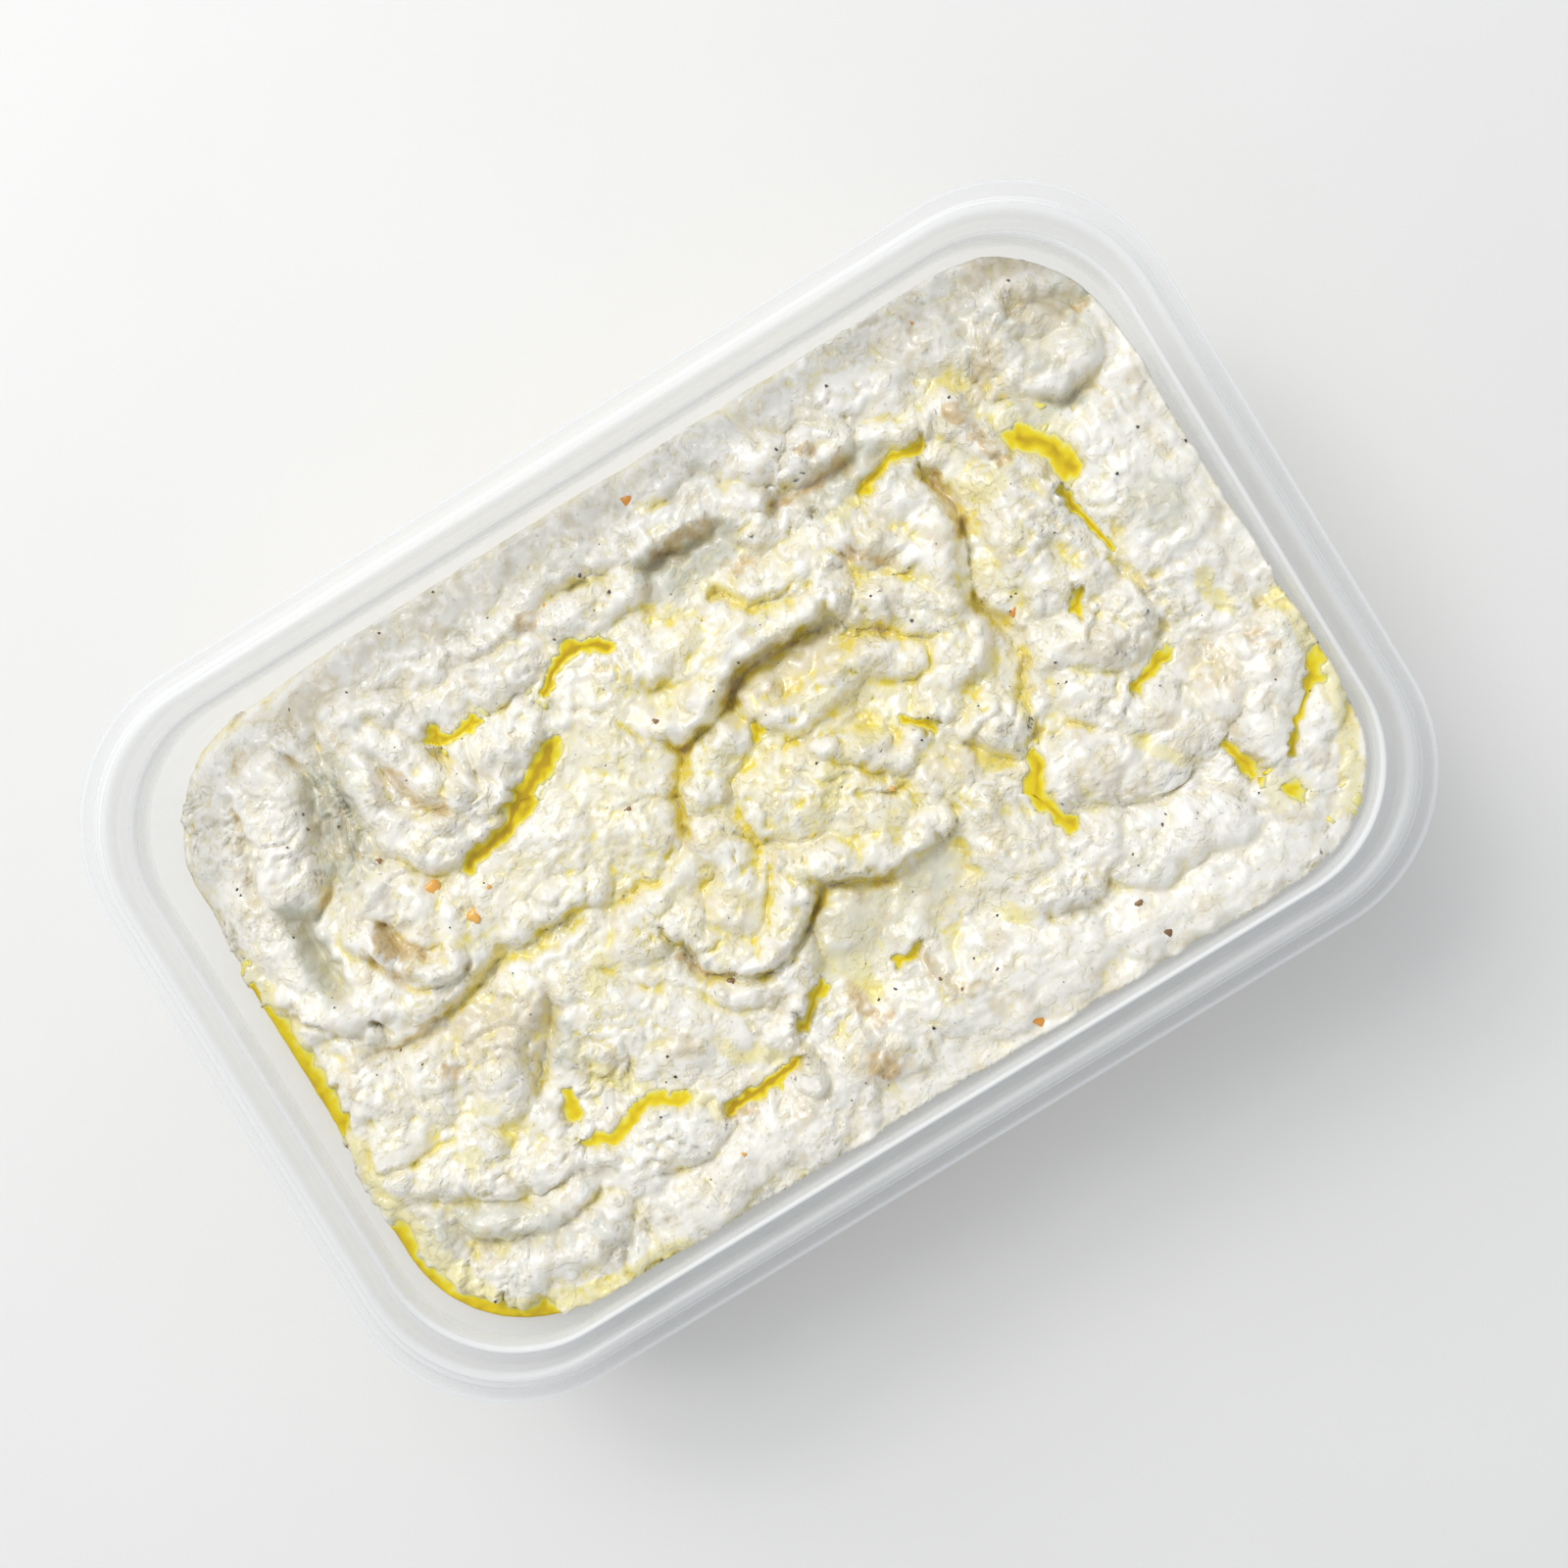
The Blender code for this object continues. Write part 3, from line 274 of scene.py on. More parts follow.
# %% Rolls of the dip: back width, front width, rise, crest (mm)
ROLLS = (
    # West end, and the bean-shaped lump beside the scraped grooves
    (3.6, 4.6, 5.2, (-66, 24), (-64.5, 28), (-63, 31.5)),
    (3.4, 4.4, 5.0, (-62.5, 34), (-60.5, 37), (-60, 41)),
    (7.0, 4.6, 3.3, (-71, 9), (-72.5, 16), (-73, 23)),
    (6.0, 3.2, 3.9, (-72, 5), (-64, 3.6), (-57, 0.6), (-49, 2)),
    (1.3, 1.2, 1.9, (-56.5, 22.5), (-53.2, 33.5)),
    (1.3, 1.2, 1.9, (-53.6, 22.0), (-50.9, 32.5)),
    # Small curl
    (3.2, 3.2, 4.0, (-60, 12), (-57.5, 5), (-51.5, 3), (-47.5, 7.5)),
    (4.6, 4.4, 4.3, (-55, 14.5), (-51.5, 12), (-52, 7.5)),
    # Shell-shaped curl and the bun beside it
    (5.5, 3.6, 5.2, (-47.5, 38), (-48.5, 28), (-45.5, 19.5), (-39, 16.6), (-31, 19.4)),
    (3.8, 3.4, 5.8, (-44.5, 38.5), (-41.5, 30), (-39, 24), (-34.5, 20.5)),
    (3.0, 2.8, 5.4, (-46, 41), (-40, 38.4), (-37.5, 33)),
    (5.6, 4.6, 5.2, (-34.5, 25), (-29, 25.5), (-22.8, 25)),
    # North-west, along the wall
    (6.0, 5.5, 3.6, (-64, 44), (-50, 45.5), (-40, 46)),
    (4.6, 4.4, 4.2, (-39, 43), (-34, 44), (-30, 42)),
    (4.4, 3.6, 4.7, (-34, 34.6), (-26, 34.4), (-19, 34)),
    (4.0, 3.8, 4.6, (-32, 39.5), (-25, 40), (-21, 38)),
    (3.8, 3.6, 5.0, (-19, 40), (-16, 41), (-14, 38.2)),
    (4.2, 3.6, 4.6, (-12, 42), (-6, 42.6), (-1, 41.5)),
    (3.8, 3.2, 4.6, (-13, 36), (-7, 35.2), (-1.5, 36)),
    (5.5, 4.5, 3.4, (-26, 46.5), (-12, 47), (2, 47)),
    # North, above the two scraped patches
    (5.0, 3.2, 4.8, (3, 42), (9, 41), (15, 40)),
    (4.2, 4.0, 4.2, (7, 46), (14, 46), (21, 45)),
    (3.6, 3.0, 5.0, (17, 38), (20, 36.5), (19, 33)),
    (5.2, 3.4, 5.2, (22, 42), (28, 39), (36, 38)),
    (4.6, 3.6, 4.2, (28, 45.5), (37, 44), (45, 40)),
    (4.0, 3.4, 2.7, (26, 31), (33, 31.6), (39, 34)),
    (3.2, 2.4, 4.4, (40, 36), (44, 34.5), (47, 32.5)),
    # The broad middle west and its ledges
    (8.5, 7.5, 3.9, (-17, 5), (-13, 14), (-10, 25)),
    (7.5, 6.0, 3.7, (-43, 7), (-34, 8.6), (-26, 11)),
    (3.4, 2.4, 4.1, (-40, 2), (-33, 2.4), (-27, 0.8)),
    (4.2, 3.4, 4.8, (-5, 24), (2, 23.4), (9, 22)),
    (4.8, 3.2, 5.0, (14, 24.5), (20, 24), (26, 24)),
    # The great lip that overhangs a smooth bowl, and the curl that it turns into
    (4.6, 1.8, 5.2, (-8.5, 16.4), (-4.5, 14.2), (-0.4, 13.6)),
    (5.6, 1.6, 6.6, (0.5, 14.6), (8, 18.6), (16, 18), (24, 18.4)),
    (4.2, 3.6, 4.9, (25, 17.6), (32, 12), (35.4, 5), (31, 1)),
    (3.2, 2.6, 4.6, (14, 7.4), (20, 8.6), (28, 5)),
    (4.2, 4.0, 4.9, (-5.5, 4.6), (-2.5, 7), (1.4, 8.4)),
    (3.4, 3.2, 4.6, (7.5, 9.4), (9.5, 7.6), (12.5, 7)),
    # Heart of the dip
    (8.5, 7.0, 5.4, (3, -2.5), (8, -7), (12, -12)),
    (4.8, 4.6, 5.2, (-8.5, -3), (-9.5, -8), (-12.5, -13)),
    (5.2, 2.0, 5.9, (-20, -11), (-17, -17.2), (-10.5, -19.8), (-5, -17), (-0.8, -13.2)),
    (4.8, 1.8, 5.9, (0.5, -12.8), (5.5, -14.6), (13, -17.2), (20, -17.6)),
    (3.0, 2.4, 6.0, (11, 0.6), (16, -2.4), (19, -5.8), (25.5, -5.4)),
    (6.5, 5.5, 4.6, (23, -10), (26, -18), (26.5, -27)),
    (5.2, 4.4, 4.9, (29, -4), (33, -7), (36, -10.5)),
    # West half, below the middle
    (5.0, 4.6, 4.4, (-27, -8), (-19, -5.4), (-12.5, -0.5)),
    (8.5, 8.0, 3.7, (-38, -11), (-33, -18), (-27, -25)),
    (6.0, 2.4, 4.9, (-54, -18), (-50.5, -12), (-43.5, -7.4)),
    (5.0, 4.8, 3.9, (-71, -7), (-69.5, -11), (-70.5, -16)),
    (4.4, 4.4, 4.1, (-62, -9), (-64, -14)),
    (5.0, 4.2, 4.1, (-72.5, -21), (-68, -23), (-62, -23.6)),
    (4.2, 2.4, 4.6, (-65, -26), (-57.5, -29.4), (-50, -30.6), (-45, -32)),
    (3.4, 2.8, 4.0, (-67.5, -31), (-63.5, -34), (-57, -36), (-51.5, -34.6)),
    (5.0, 4.2, 4.4, (-66, -41), (-59, -41), (-51.5, -40.5)),
    (2.4, 2.4, 3.8, (-69.4, -42.6), (-67, -44.4)),
    (3.8, 3.0, 4.7, (-19.5, -21.4), (-13, -24.4), (-8, -24.6), (-6.6, -21.6)),
    (3.4, 2.8, 4.4, (-8.6, -25.4), (-11, -29.4), (-16, -31.4)),
    # South bank
    (6.5, 5.5, 4.9, (-42, -36), (-37, -35.6), (-32, -37.8)),
    (5.5, 4.6, 4.5, (-42, -45), (-33, -45), (-24, -43.6)),
    (2.2, 2.2, 5.8, (-14.1, -36), (-14.6, -39.6)),
    (7.5, 6.5, 4.2, (-18, -44), (-8, -41), (0, -40)),
    (8.0, 7.0, 4.0, (7, -40), (16, -42), (26, -43)),
    (5.6, 3.4, 4.3, (27, -33.5), (33, -35.6), (38, -33)),
    (6.0, 5.0, 4.6, (43, -37.6), (48, -37.4), (55, -38.6)),
    (6.0, 4.6, 4.0, (36, -46), (48, -47), (58, -46.6)),
    (7.0, 6.0, 3.2, (60, -43), (67, -41), (73, -35)),
    # The sail-shaped fold, and the long strip and mass east of its crease
    (6.5, 3.6, 6.0, (39.5, 12), (41.6, 19), (40.6, 26)),
    (5.0, 3.0, 5.8, (29.5, 25), (33.5, 20.6), (38, 14)),
    (2.6, 2.2, 4.7, (50.4, 33), (53, 26.6), (56.6, 19.6), (58.8, 15)),
    (7.0, 5.4, 4.9, (54, 19), (51.5, 11), (52.5, 3)),
    (5.4, 4.6, 5.0, (47.5, -6), (54, -7.6), (58.5, -6.4)),
    (6.5, 6.5, 4.0, (69, 17), (70, 8), (71, -2)),
    # North-east corner
    (5.5, 4.6, 4.0, (51, 43), (57, 39), (61, 36)),
    (5.0, 4.6, 3.6, (64, 43), (69, 39)),
    (4.2, 3.2, 4.2, (61, 32), (67, 29), (72, 30)),
    # East, with the tongue that points south
    (6.0, 5.4, 4.7, (36.5, -20.4), (41, -21), (46.5, -23)),
    (4.8, 4.6, 4.0, (46.5, -12), (50, -16), (55, -18.4)),
    (4.6, 4.4, 4.8, (64.5, -22), (70, -21), (75, -21)),
    (5.6, 3.8, 5.2, (71, -23), (67.6, -28), (65.2, -32.6)),
    (3.8, 2.4, 4.3, (68.4, -35.4), (72, -35), (76.5, -31)),
    (5.0, 5.0, 3.9, (52, -26), (57, -24)),
)
print(len(ROLLS), "rolls")

# %% Pools of oil: name, half width, depth, line (mm)
POOLS = (
    ("oil_west_wall", 2.0, 2.2, (-75.2, 12), (-74.6, 0), (-74.4, -13)),
    ("oil_south_west_corner", 2.5, 2.4, (-75, -23), (-73.6, -34), (-68.4, -42.8), (-60, -47.2)),
    ("oil_shell_notch", 1.4, 2.4, (-35.9, 31.6), (-33.4, 29.8), (-28.4, 30.7)),
    ("oil_bun_crease", 2.2, 3.2, (-41.2, 12.8), (-34.5, 14.2), (-28.5, 18), (-22.4, 21.2)),
    ("oil_north_crease", 1.7, 3.0, (-18.2, 29.4), (-14.4, 31.6), (-11.4, 31.4), (-7.6, 29.6)),
    ("oil_sail_top", 1.3, 2.6, (35.2, 29.2), (40.6, 31.4), (46.6, 30.8)),
    ("oil_north_east", 2.9, 2.6, (59.2, 23.4), (62, 20.6), (62.6, 16.6)),
    ("oil_east_slot", 1.2, 2.6, (60.2, 14.4), (61.2, 10), (62.4, 4.4)),
    ("oil_east_dimple", 1.3, 2.4, (53.4, 0), (52.0, -2.2)),
    ("oil_east_mass_foot", 1.4, 2.6, (55, -14.6), (59.6, -13)),
    ("oil_pebble_west", 1.8, 2.4, (36.2, -16.4), (33.9, -20.6), (35.2, -26)),
    ("oil_tongue_west", 1.7, 2.4, (61.4, -28), (62, -34.2)),
    ("oil_tongue_tip", 2.6, 2.0, (64.8, -38.2), (65.2, -38.6)),
    ("oil_tongue_east", 0.9, 2.2, (67.6, -34), (71.6, -30.6), (76.6, -25.4)),
    ("oil_west_pond", 2.3, 2.2, (-46.2, -23), (-46.4, -25)),
    ("oil_west_trickle", 1.2, 2.0, (-47.4, -29), (-42.6, -30.6), (-36, -30), (-31, -32.8)),
    ("oil_south_slot", 1.7, 3.6, (-27, -37.2), (-21.4, -36.8), (-16, -36)),
    ("oil_crescent_foot", 1.4, 2.6, (-12, -32.2), (-8.6, -30.2), (-5.4, -28)),
    ("oil_bowl_foot", 1.1, 2.0, (4.4, -30.8), (8.8, -30.2)),
    ("oil_heart_east", 1.1, 2.4, (23.6, -2.6), (27, -5.4)),
    ("oil_lump_notch", 1.2, 2.4, (4.4, 6.6), (5.6, 8.2)),
)

# %% Creases and bowls with no oil: half width, depth, line (mm)
HOLLOWS = (
    (1.1, 3.2, (-36.9, 27.4), (-36.2, 30.4)),
    (1.0, 2.8, (-21.6, 21.8), (-20.0, 25.4), (-18.9, 28.6)),
    (0.9, 2.6, (-12, 0.4), (-9.6, 5), (-6, 9), (-4.4, 11), (-1, 11.4)),
    (1.1, 3.6, (3, 13.6), (9, 16), (15, 15.6), (22, 15.8)),
    (1.0, 3.0, (2.6, 36.8), (8, 38), (14, 37)),
    (1.0, 3.0, (22.4, 34.2), (29, 33.4), (37, 35)),
    (0.9, 2.6, (9.4, 28), (12, 24), (15.4, 21.4), (20.4, 20.6)),
    (1.0, 3.2, (44.6, 27.4), (45.2, 21.4), (42.4, 14), (40.8, 9.6), (42.6, 3), (42, -4)),
    (0.9, 2.6, (40.4, -6), (39, -11), (37, -15)),
    (1.6, 1.8, (54.4, 6.2), (54.8, 4.4)),
    (1.2, 2.8, (-67, 18), (-67.6, 9)),
    (1.0, 2.6, (-67.4, -2.4), (-62.6, -4.2), (-56.6, -3), (-50, -1.4), (-44.4, -0.4)),
    (1.2, 2.8, (-42.6, -10.6), (-46, -15.4), (-50, -19)),
    (1.0, 2.4, (-23.4, -3.4), (-17.6, -2.6), (-12.4, 0)),
    (1.0, 2.6, (-21.6, -15), (-18.6, -19.6), (-13, -22)),
    (1.0, 3.0, (-6.6, -21), (-3, -17.2), (0.4, -15.2), (5, -17), (9.6, -18.6)),
    (1.1, 2.6, (-67, -29), (-69.4, -32), (-66, -36.2), (-57, -38.4), (-50, -37)),
    (1.0, 2.4, (57.6, 36), (61, 29), (66, 25.4), (71, 26)),
    (1.0, 2.4, (66.4, 40.6), (72, 39), (76, 36)),
    (0.9, 2.4, (61.6, 2), (62.6, -4), (60.4, -10)),
    (1.0, 2.2, (27, -36), (33, -38.4)),
)

# %% Thin ridges and slits: half width, rise, or depth where it is below zero, line (mm)
FOLDS = (
    # West end: the bean-shaped lump, the scraped grooves and the valley below them
    (0.8, -1.5, (-56, 41), (-55.4, 36), (-57.4, 32), (-58.6, 27), (-58.2, 23.5)),
    (0.9, -1.7, (-58.4, 22.6), (-61, 21), (-64, 19.2)),
    (1.0, -1.5, (-66, 39), (-68, 31), (-70.5, 24)),
    (0.5, -1.0, (-62.8, 26), (-61.4, 23)),
    (0.55, -1.5, (-57.2, 23), (-54.6, 34.5)),
    (0.55, -1.5, (-55.5, 22.4), (-53, 34.6)),
    (0.55, -1.5, (-53.9, 22), (-51.6, 33)),
    (1.5, -1.2, (-66, 19.6), (-67.6, 12), (-67, 7)),
    (1.5, 1.3, (-77, 13), (-72, 6), (-66, 1.4)),
    (0.8, -1.1, (-76, 7.5), (-72, 3.5)),
    (0.9, -1.6, (-65.6, 1.8), (-64.4, 0.4)),
    # Small curl
    (0.9, 2.2, (-59, 12), (-58.4, 8), (-55, 4), (-51.4, 2.4), (-49.6, 4)),
    # Strand of flesh on the south bank
    (0.45, 0.5, (8.2, -31), (8.5, -36), (10.5, -39), (13, -39.5)),
    # Small curl, inside and below
    (0.7, -1.3, (-57, 12), (-55.8, 8.6), (-53.6, 6), (-51.2, 5.2)),
    (0.7, -1.2, (-60.6, 9), (-58, 3.6), (-53.4, 0.8), (-49.4, 1.6)),
    (0.9, 1.0, (-62, 13), (-59, 15.4), (-55, 16.8)),
    # Shell-shaped curl
    (0.9, -1.3, (-43.6, 30.4), (-42, 25), (-39.4, 21.8)),
    (0.9, 1.0, (-46, 40), (-41, 38.6), (-38, 37), (-36.6, 32)),
    (0.8, 0.9, (-40, 33), (-38.2, 27), (-36.4, 22.4)),
    (0.8, 1.0, (-47.4, 19.6), (-44, 15.6), (-40, 14.3), (-36, 14.4), (-33, 15.8)),
    (0.7, 0.9, (-46, 33), (-46.6, 27), (-43.6, 21.4), (-38.6, 19)),
    (0.7, 0.8, (-45.5, 10.5), (-42, 11.5)),
    (0.6, -0.9, (-31, 31.8), (-32.6, 27), (-34, 22)),
    # North
    (0.6, -0.9, (-28, 38.6), (-23, 37.4), (-20, 38.8)),
    (0.6, -0.9, (-10, 38.8), (-5, 38.8), (-1, 40)),
    (0.7, 0.9, (2, 39.4), (8, 39.8), (14, 38.8)),
    (0.7, 0.9, (21.6, 35.8), (26, 36), (30.4, 35), (35, 37)),
    (0.6, -0.9, (5, 44), (10, 43.6), (16, 44)),
    # The great lip and what it holds
    (0.8, 0.8, (-7, 15.4), (-4, 14.4), (-0.6, 13.4)),
    (0.7, 0.9, (0.6, 14.6), (5, 16.8), (10.5, 18), (15.5, 17.2), (20.4, 18), (24, 17.4)),
    (0.9, 0.7, (-4, 22), (0, 20.2), (8, 21), (14, 21.4), (22, 20.8), (28, 17)),
    (0.9, 0.9, (28, 15.6), (34, 12), (38, 8), (38.6, 4), (36, 1), (31, 0)),
    (0.7, 0.8, (14, 9.6), (20, 8.8), (28, 7.2)),
    (0.6, -0.9, (28.8, 23), (31, 21), (34, 18)),
    (0.5, -0.8, (-16, 24), (-12, 20), (-9.6, 14)),
    # Heart
    (0.8, 0.9, (-14, -20), (-8, -19.4), (-5, -17.6), (-1, -14.6), (3, -15), (9, -18), (15, -18.8),
     (21.4, -18.4)),
    (0.5, -0.8, (5, 1), (8, -3), (13, -4.6)),
    (0.5, -0.8, (12.4, -8), (17, -10), (21, -9)),
    (0.6, 0.8, (11, 0.4), (14.6, 0.4), (16.2, -3), (18, -5.6)),
    (0.6, 0.7, (-2, -2), (-3.4, -7), (-7, -11)),
    # West half, below the middle
    (0.6, -0.9, (-47, -11), (-50, -9), (-55, -9.6)),
    (0.7, 0.8, (-44, -3), (-36, -4.4), (-30, -3)),
    (0.6, -0.9, (-74, -19), (-69, -19.6), (-64, -20.6)),
    (0.9, 1.0, (-68, -36), (-60, -38.4), (-52, -38.4), (-49, -37.4)),
    (0.6, -0.8, (-33, -10), (-30, -15), (-25, -18)),
    (0.7, 1.1, (-14.5, -33), (-14, -40)),
    (0.6, -0.9, (-40, -39), (-34, -40.6), (-27, -40)),
    # East
    (0.8, 0.9, (50, 34), (52.5, 30), (53.4, 26), (57, 20), (59.2, 16)),
    (0.9, 1.0, (54, 21.4), (55, 17), (57.6, 12), (59, 7)),
    (0.8, 0.9, (50, 9), (55, 10.4), (58, 7), (57, 2.4)),
    (0.7, -1.2, (54.5, -15.6), (57, -14.4), (60, -13.2)),
    (0.6, -0.9, (47, -18), (44, -15.8), (39, -16)),
    (0.6, -0.9, (45, -29), (50, -31), (56, -30)),
    (0.6, -0.9, (66, 36), (70, 33.6), (75, 33)),
    (0.8, 0.8, (35, 26), (40, 29), (46, 28)),
)
print(len(POOLS), "pools,", len(HOLLOWS), "dry creases and", len(FOLDS), "thin ridges and slits")

# %% [markdown]
# ## Raising the dip's surface
#
# The surface is a height above each place, built up in the order in which the dip was made: a level
# ground, the rolls laid on it, and the creases between them, which soft dip fills again in places. Each
# roll also carries streaks along its own line, where the spoon dragged the flesh, and its own shade.

# %% Ground and rolls
GROUND = 34.5 * MM
GROUND_RISE_EAST = 1.5 * MM
GROUND_RISE_SOUTH = 2.2 * MM
CORNER_SINK = 5.0 * MM
SINK_WIDTH = 9.0 * MM
SINK_WEST = (-42 * MM, -62 * MM)
SINK_NORTH = (-4 * MM, 16 * MM)
CREASE = 0.9 * MM
ROLL_RISE = 0.78
ROLL_SHAPE = 1.2
LIP_SHAPE = 0.7
BACK_SPREAD = 1.7
WARP = (9.0 * MM, 1.1 * MM, 5)
STREAK = 0.26 * MM


def from_wall(x, y):
    """How far a place is from the dip's outline, up to the corner radius."""
    inset = wall_inner(GROUND)
    radius = corner_radius(inset)
    over_x = np.maximum(np.abs(x) - (LENGTH / 2 - inset - radius), 0)
    over_y = np.maximum(np.abs(y) - (WIDTH / 2 - inset - radius), 0)
    return radius - np.hypot(over_x, over_y)


def ground(x, y):
    """The level that the rolls stand on: higher to the east and south, sunk along the north-west wall."""
    level = GROUND + GROUND_RISE_EAST * x / (LENGTH / 2) - GROUND_RISE_SOUTH * y / (WIDTH / 2)
    near = np.clip(1 - from_wall(x, y) / SINK_WIDTH, 0, 1)
    west = np.clip((x - SINK_WEST[0]) / (SINK_WEST[1] - SINK_WEST[0]), 0, 1)
    north = np.clip((y - SINK_NORTH[0]) / (SINK_NORTH[1] - SINK_NORTH[0]), 0, 1)
    return level - CORNER_SINK * near * west * north


def warped(x, y):
    """Places pushed about by soft noise, so that drawn lines wander as real ones do."""
    cell, reach, seed = WARP
    wx = x + reach * value_noise(x, y, cell, seed)
    wy = y + reach * value_noise(x, y, cell, seed + 1)
    return wx, wy


def rolled(x, y):
    """The ground with every roll laid on it by a soft maximum, and each roll's own shade."""
    wx, wy = warped(x, y)
    fine_x = wx + 1.1 * MM * noise(x, y, 4.2 * MM, 91) + 0.45 * MM * noise(x, y, 1.9 * MM, 93)
    fine_y = wy + 1.1 * MM * noise(x, y, 4.2 * MM, 92) + 0.45 * MM * noise(x, y, 1.9 * MM, 94)
    low = ground(x, y)
    height = low.copy()
    shade = np.zeros_like(x)
    shades = np.random.default_rng(7).uniform(-1, 1, len(ROLLS))
    for number, (back, front, rise, *points) in enumerate(ROLLS):
        line = smooth_line(points)
        back = BACK_SPREAD * back
        near = beside(fine_x, fine_y, line, max(back, front) * MM)
        distance, side, way = from_line(fine_x[near], fine_y[near], line)
        wobble = noise(way, side * 3 * MM + number, 5 * MM, 500 + number)
        width = (0.5 * (back + front) * MM + 0.5 * (front - back) * MM * side) * (1 + 0.26 * wobble)
        share = np.clip(1 - (distance / width) ** 2, 0, None)
        streak = noise(distance * side, way / 6, 0.9 * MM, 300 + number)
        streak += noise(distance * side, way / 4, 2.1 * MM, 400 + number)
        swell = 1 + 0.22 * noise(way, way, 6 * MM, 700 + number)
        roll = low[near] + (ROLL_RISE * rise * swell * MM + CREASE) * share ** (ROLL_SHAPE - LIP_SHAPE * side)
        roll += STREAK * streak * share - CREASE
        mix = np.clip(0.5 + 0.5 * (roll - height[near]) / CREASE, 0, 1)
        shade[near] = shade[near] * (1 - mix) + shades[number] * mix
        height[near] = smooth_max(height[near], roll, CREASE)
    return height, shade


# %% Filling the creases
FILL = 0.7 * MM
FILL_CHANGE = 1.5 * MM
FILL_CELL = 9 * MM
FILL_SOFTNESS = 1.2 * MM


def filled(x, y, height):
    """Creases between rolls come and go: soft noise fills them in places, by a soft maximum."""
    fill = ground(x, y) + FILL + FILL_CHANGE * noise(x, y, FILL_CELL, 95)
    fill += 0.4 * MM * noise(x, y, FILL_CELL / 3, 96)
    return smooth_max(height, fill, FILL_SOFTNESS)


# %% Creases and pools
BANK = 0.35 * MM
BANK_END = 2.6
HOLLOW_REACH = 2.2
HOLLOW_DEPTH = 0.8
HOLLOW_SHAPE = 1.5


def shore_level(line, half_width, height_at):
    """The level of a pool: the mean of the lowest third of the banks on both sides of its line."""
    across = np.gradient(line, axis=0)
    across = np.stack([-across[:, 1], across[:, 0]], axis=1)
    across /= np.linalg.norm(across, axis=1, keepdims=True)
    banks = np.concatenate([line + 1.5 * half_width * across, line - 1.5 * half_width * across])
    banks = banks[from_wall(banks[:, 0], banks[:, 1]) > 0]
    heights = np.sort(height_at(banks[:, 0], banks[:, 1]))
    return float(np.mean(heights[: max(3, len(heights) // 3)]))


def cad_height(x, y):
    """The height without its finest lumps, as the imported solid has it."""
    wx, wy = warped(x, y)
    height = rolled(x, y)[0]
    for spacing, rise, seed in ((6.4 * MM, 1.3 * MM, 11), (3.1 * MM, 0.6 * MM, 23)):
        height = height + rise * (pebbles(wx, wy, spacing, seed) - 0.5)
    return height


pool_places = []
for name, half_width, depth, *points in POOLS:
    line = smooth_line(points)
    level = shore_level(line, half_width * MM, cad_height)
    pool_places.append((name, line, half_width * MM, depth * MM, level))
print("pool levels (mm):", [round(place[4] / MM, 1) for place in pool_places])

# %% [markdown]
# ## From rough form to real texture
#
# Close up, the dip is torn flesh that overlaps in sheets a few millimetres wide, with soft lumps and
# grain between, and it is calmer where a spoon has smoothed it. So the fine relief is a sum of sheets,
# lumps and noise at falling sizes, turned down inside a few named calm areas. Small chunks and pits are
# stamped on it as flattened domes, and thin ridges and slits follow their own lines.

# %% Fine relief
# Where the spoon has smoothed the dip: centre, half sizes (mm), share of the relief that is lost
CALM = (
    (-14, 16, 9, 13, 0.45),
    (12, 12.5, 13, 3.6, 0.75),
    (8, -24, 14, 6, 0.55),
    (70, 10, 8, 15, 0.4),
    (-30, 48, 34, 4, 0.7),
    (-66, 14, 4, 7, 0.6),
    (10, 33.5, 8, 4, 0.5),
    (34, 32, 6, 3, 0.5),
    (-60, -33, 9, 4, 0.5),
    (-36, 7, 9, 5, 0.3),
    (34, -45, 36, 8, 0.65),
    (12, -38, 16, 7, 0.5),
    (76, 18, 8, 30, 0.6),
    (66, 24, 9, 12, 0.35),
    (72, -36, 10, 12, 0.45),
    (0, 22, 14, 4, 0.4),
    (42, 20, 6, 9, 0.45),
    (-66, 4, 10, 8, 0.35),
    (-30, -17, 9, 8, 0.35),
)


def ellipse(x, y, centre_x, centre_y, half_x, half_y):
    """1 at the middle of an ellipse and 0 at its edge: 1 - r^2, squared."""
    r2 = ((x / MM - centre_x) / half_x) ** 2 + ((y / MM - centre_y) / half_y) ** 2
    return np.clip(1 - r2, 0, None) ** 2


def calmness(x, y):
    """How far the relief is turned down, by the strongest of the calm areas."""
    calm = np.zeros_like(x)
    for centre_x, centre_y, half_x, half_y, share in CALM:
        r2 = ((x / MM - centre_x) / half_x) ** 2 + ((y / MM - centre_y) / half_y) ** 2
        calm = np.maximum(calm, share * (1 - step(0.5, 1.2, r2)))
    return calm


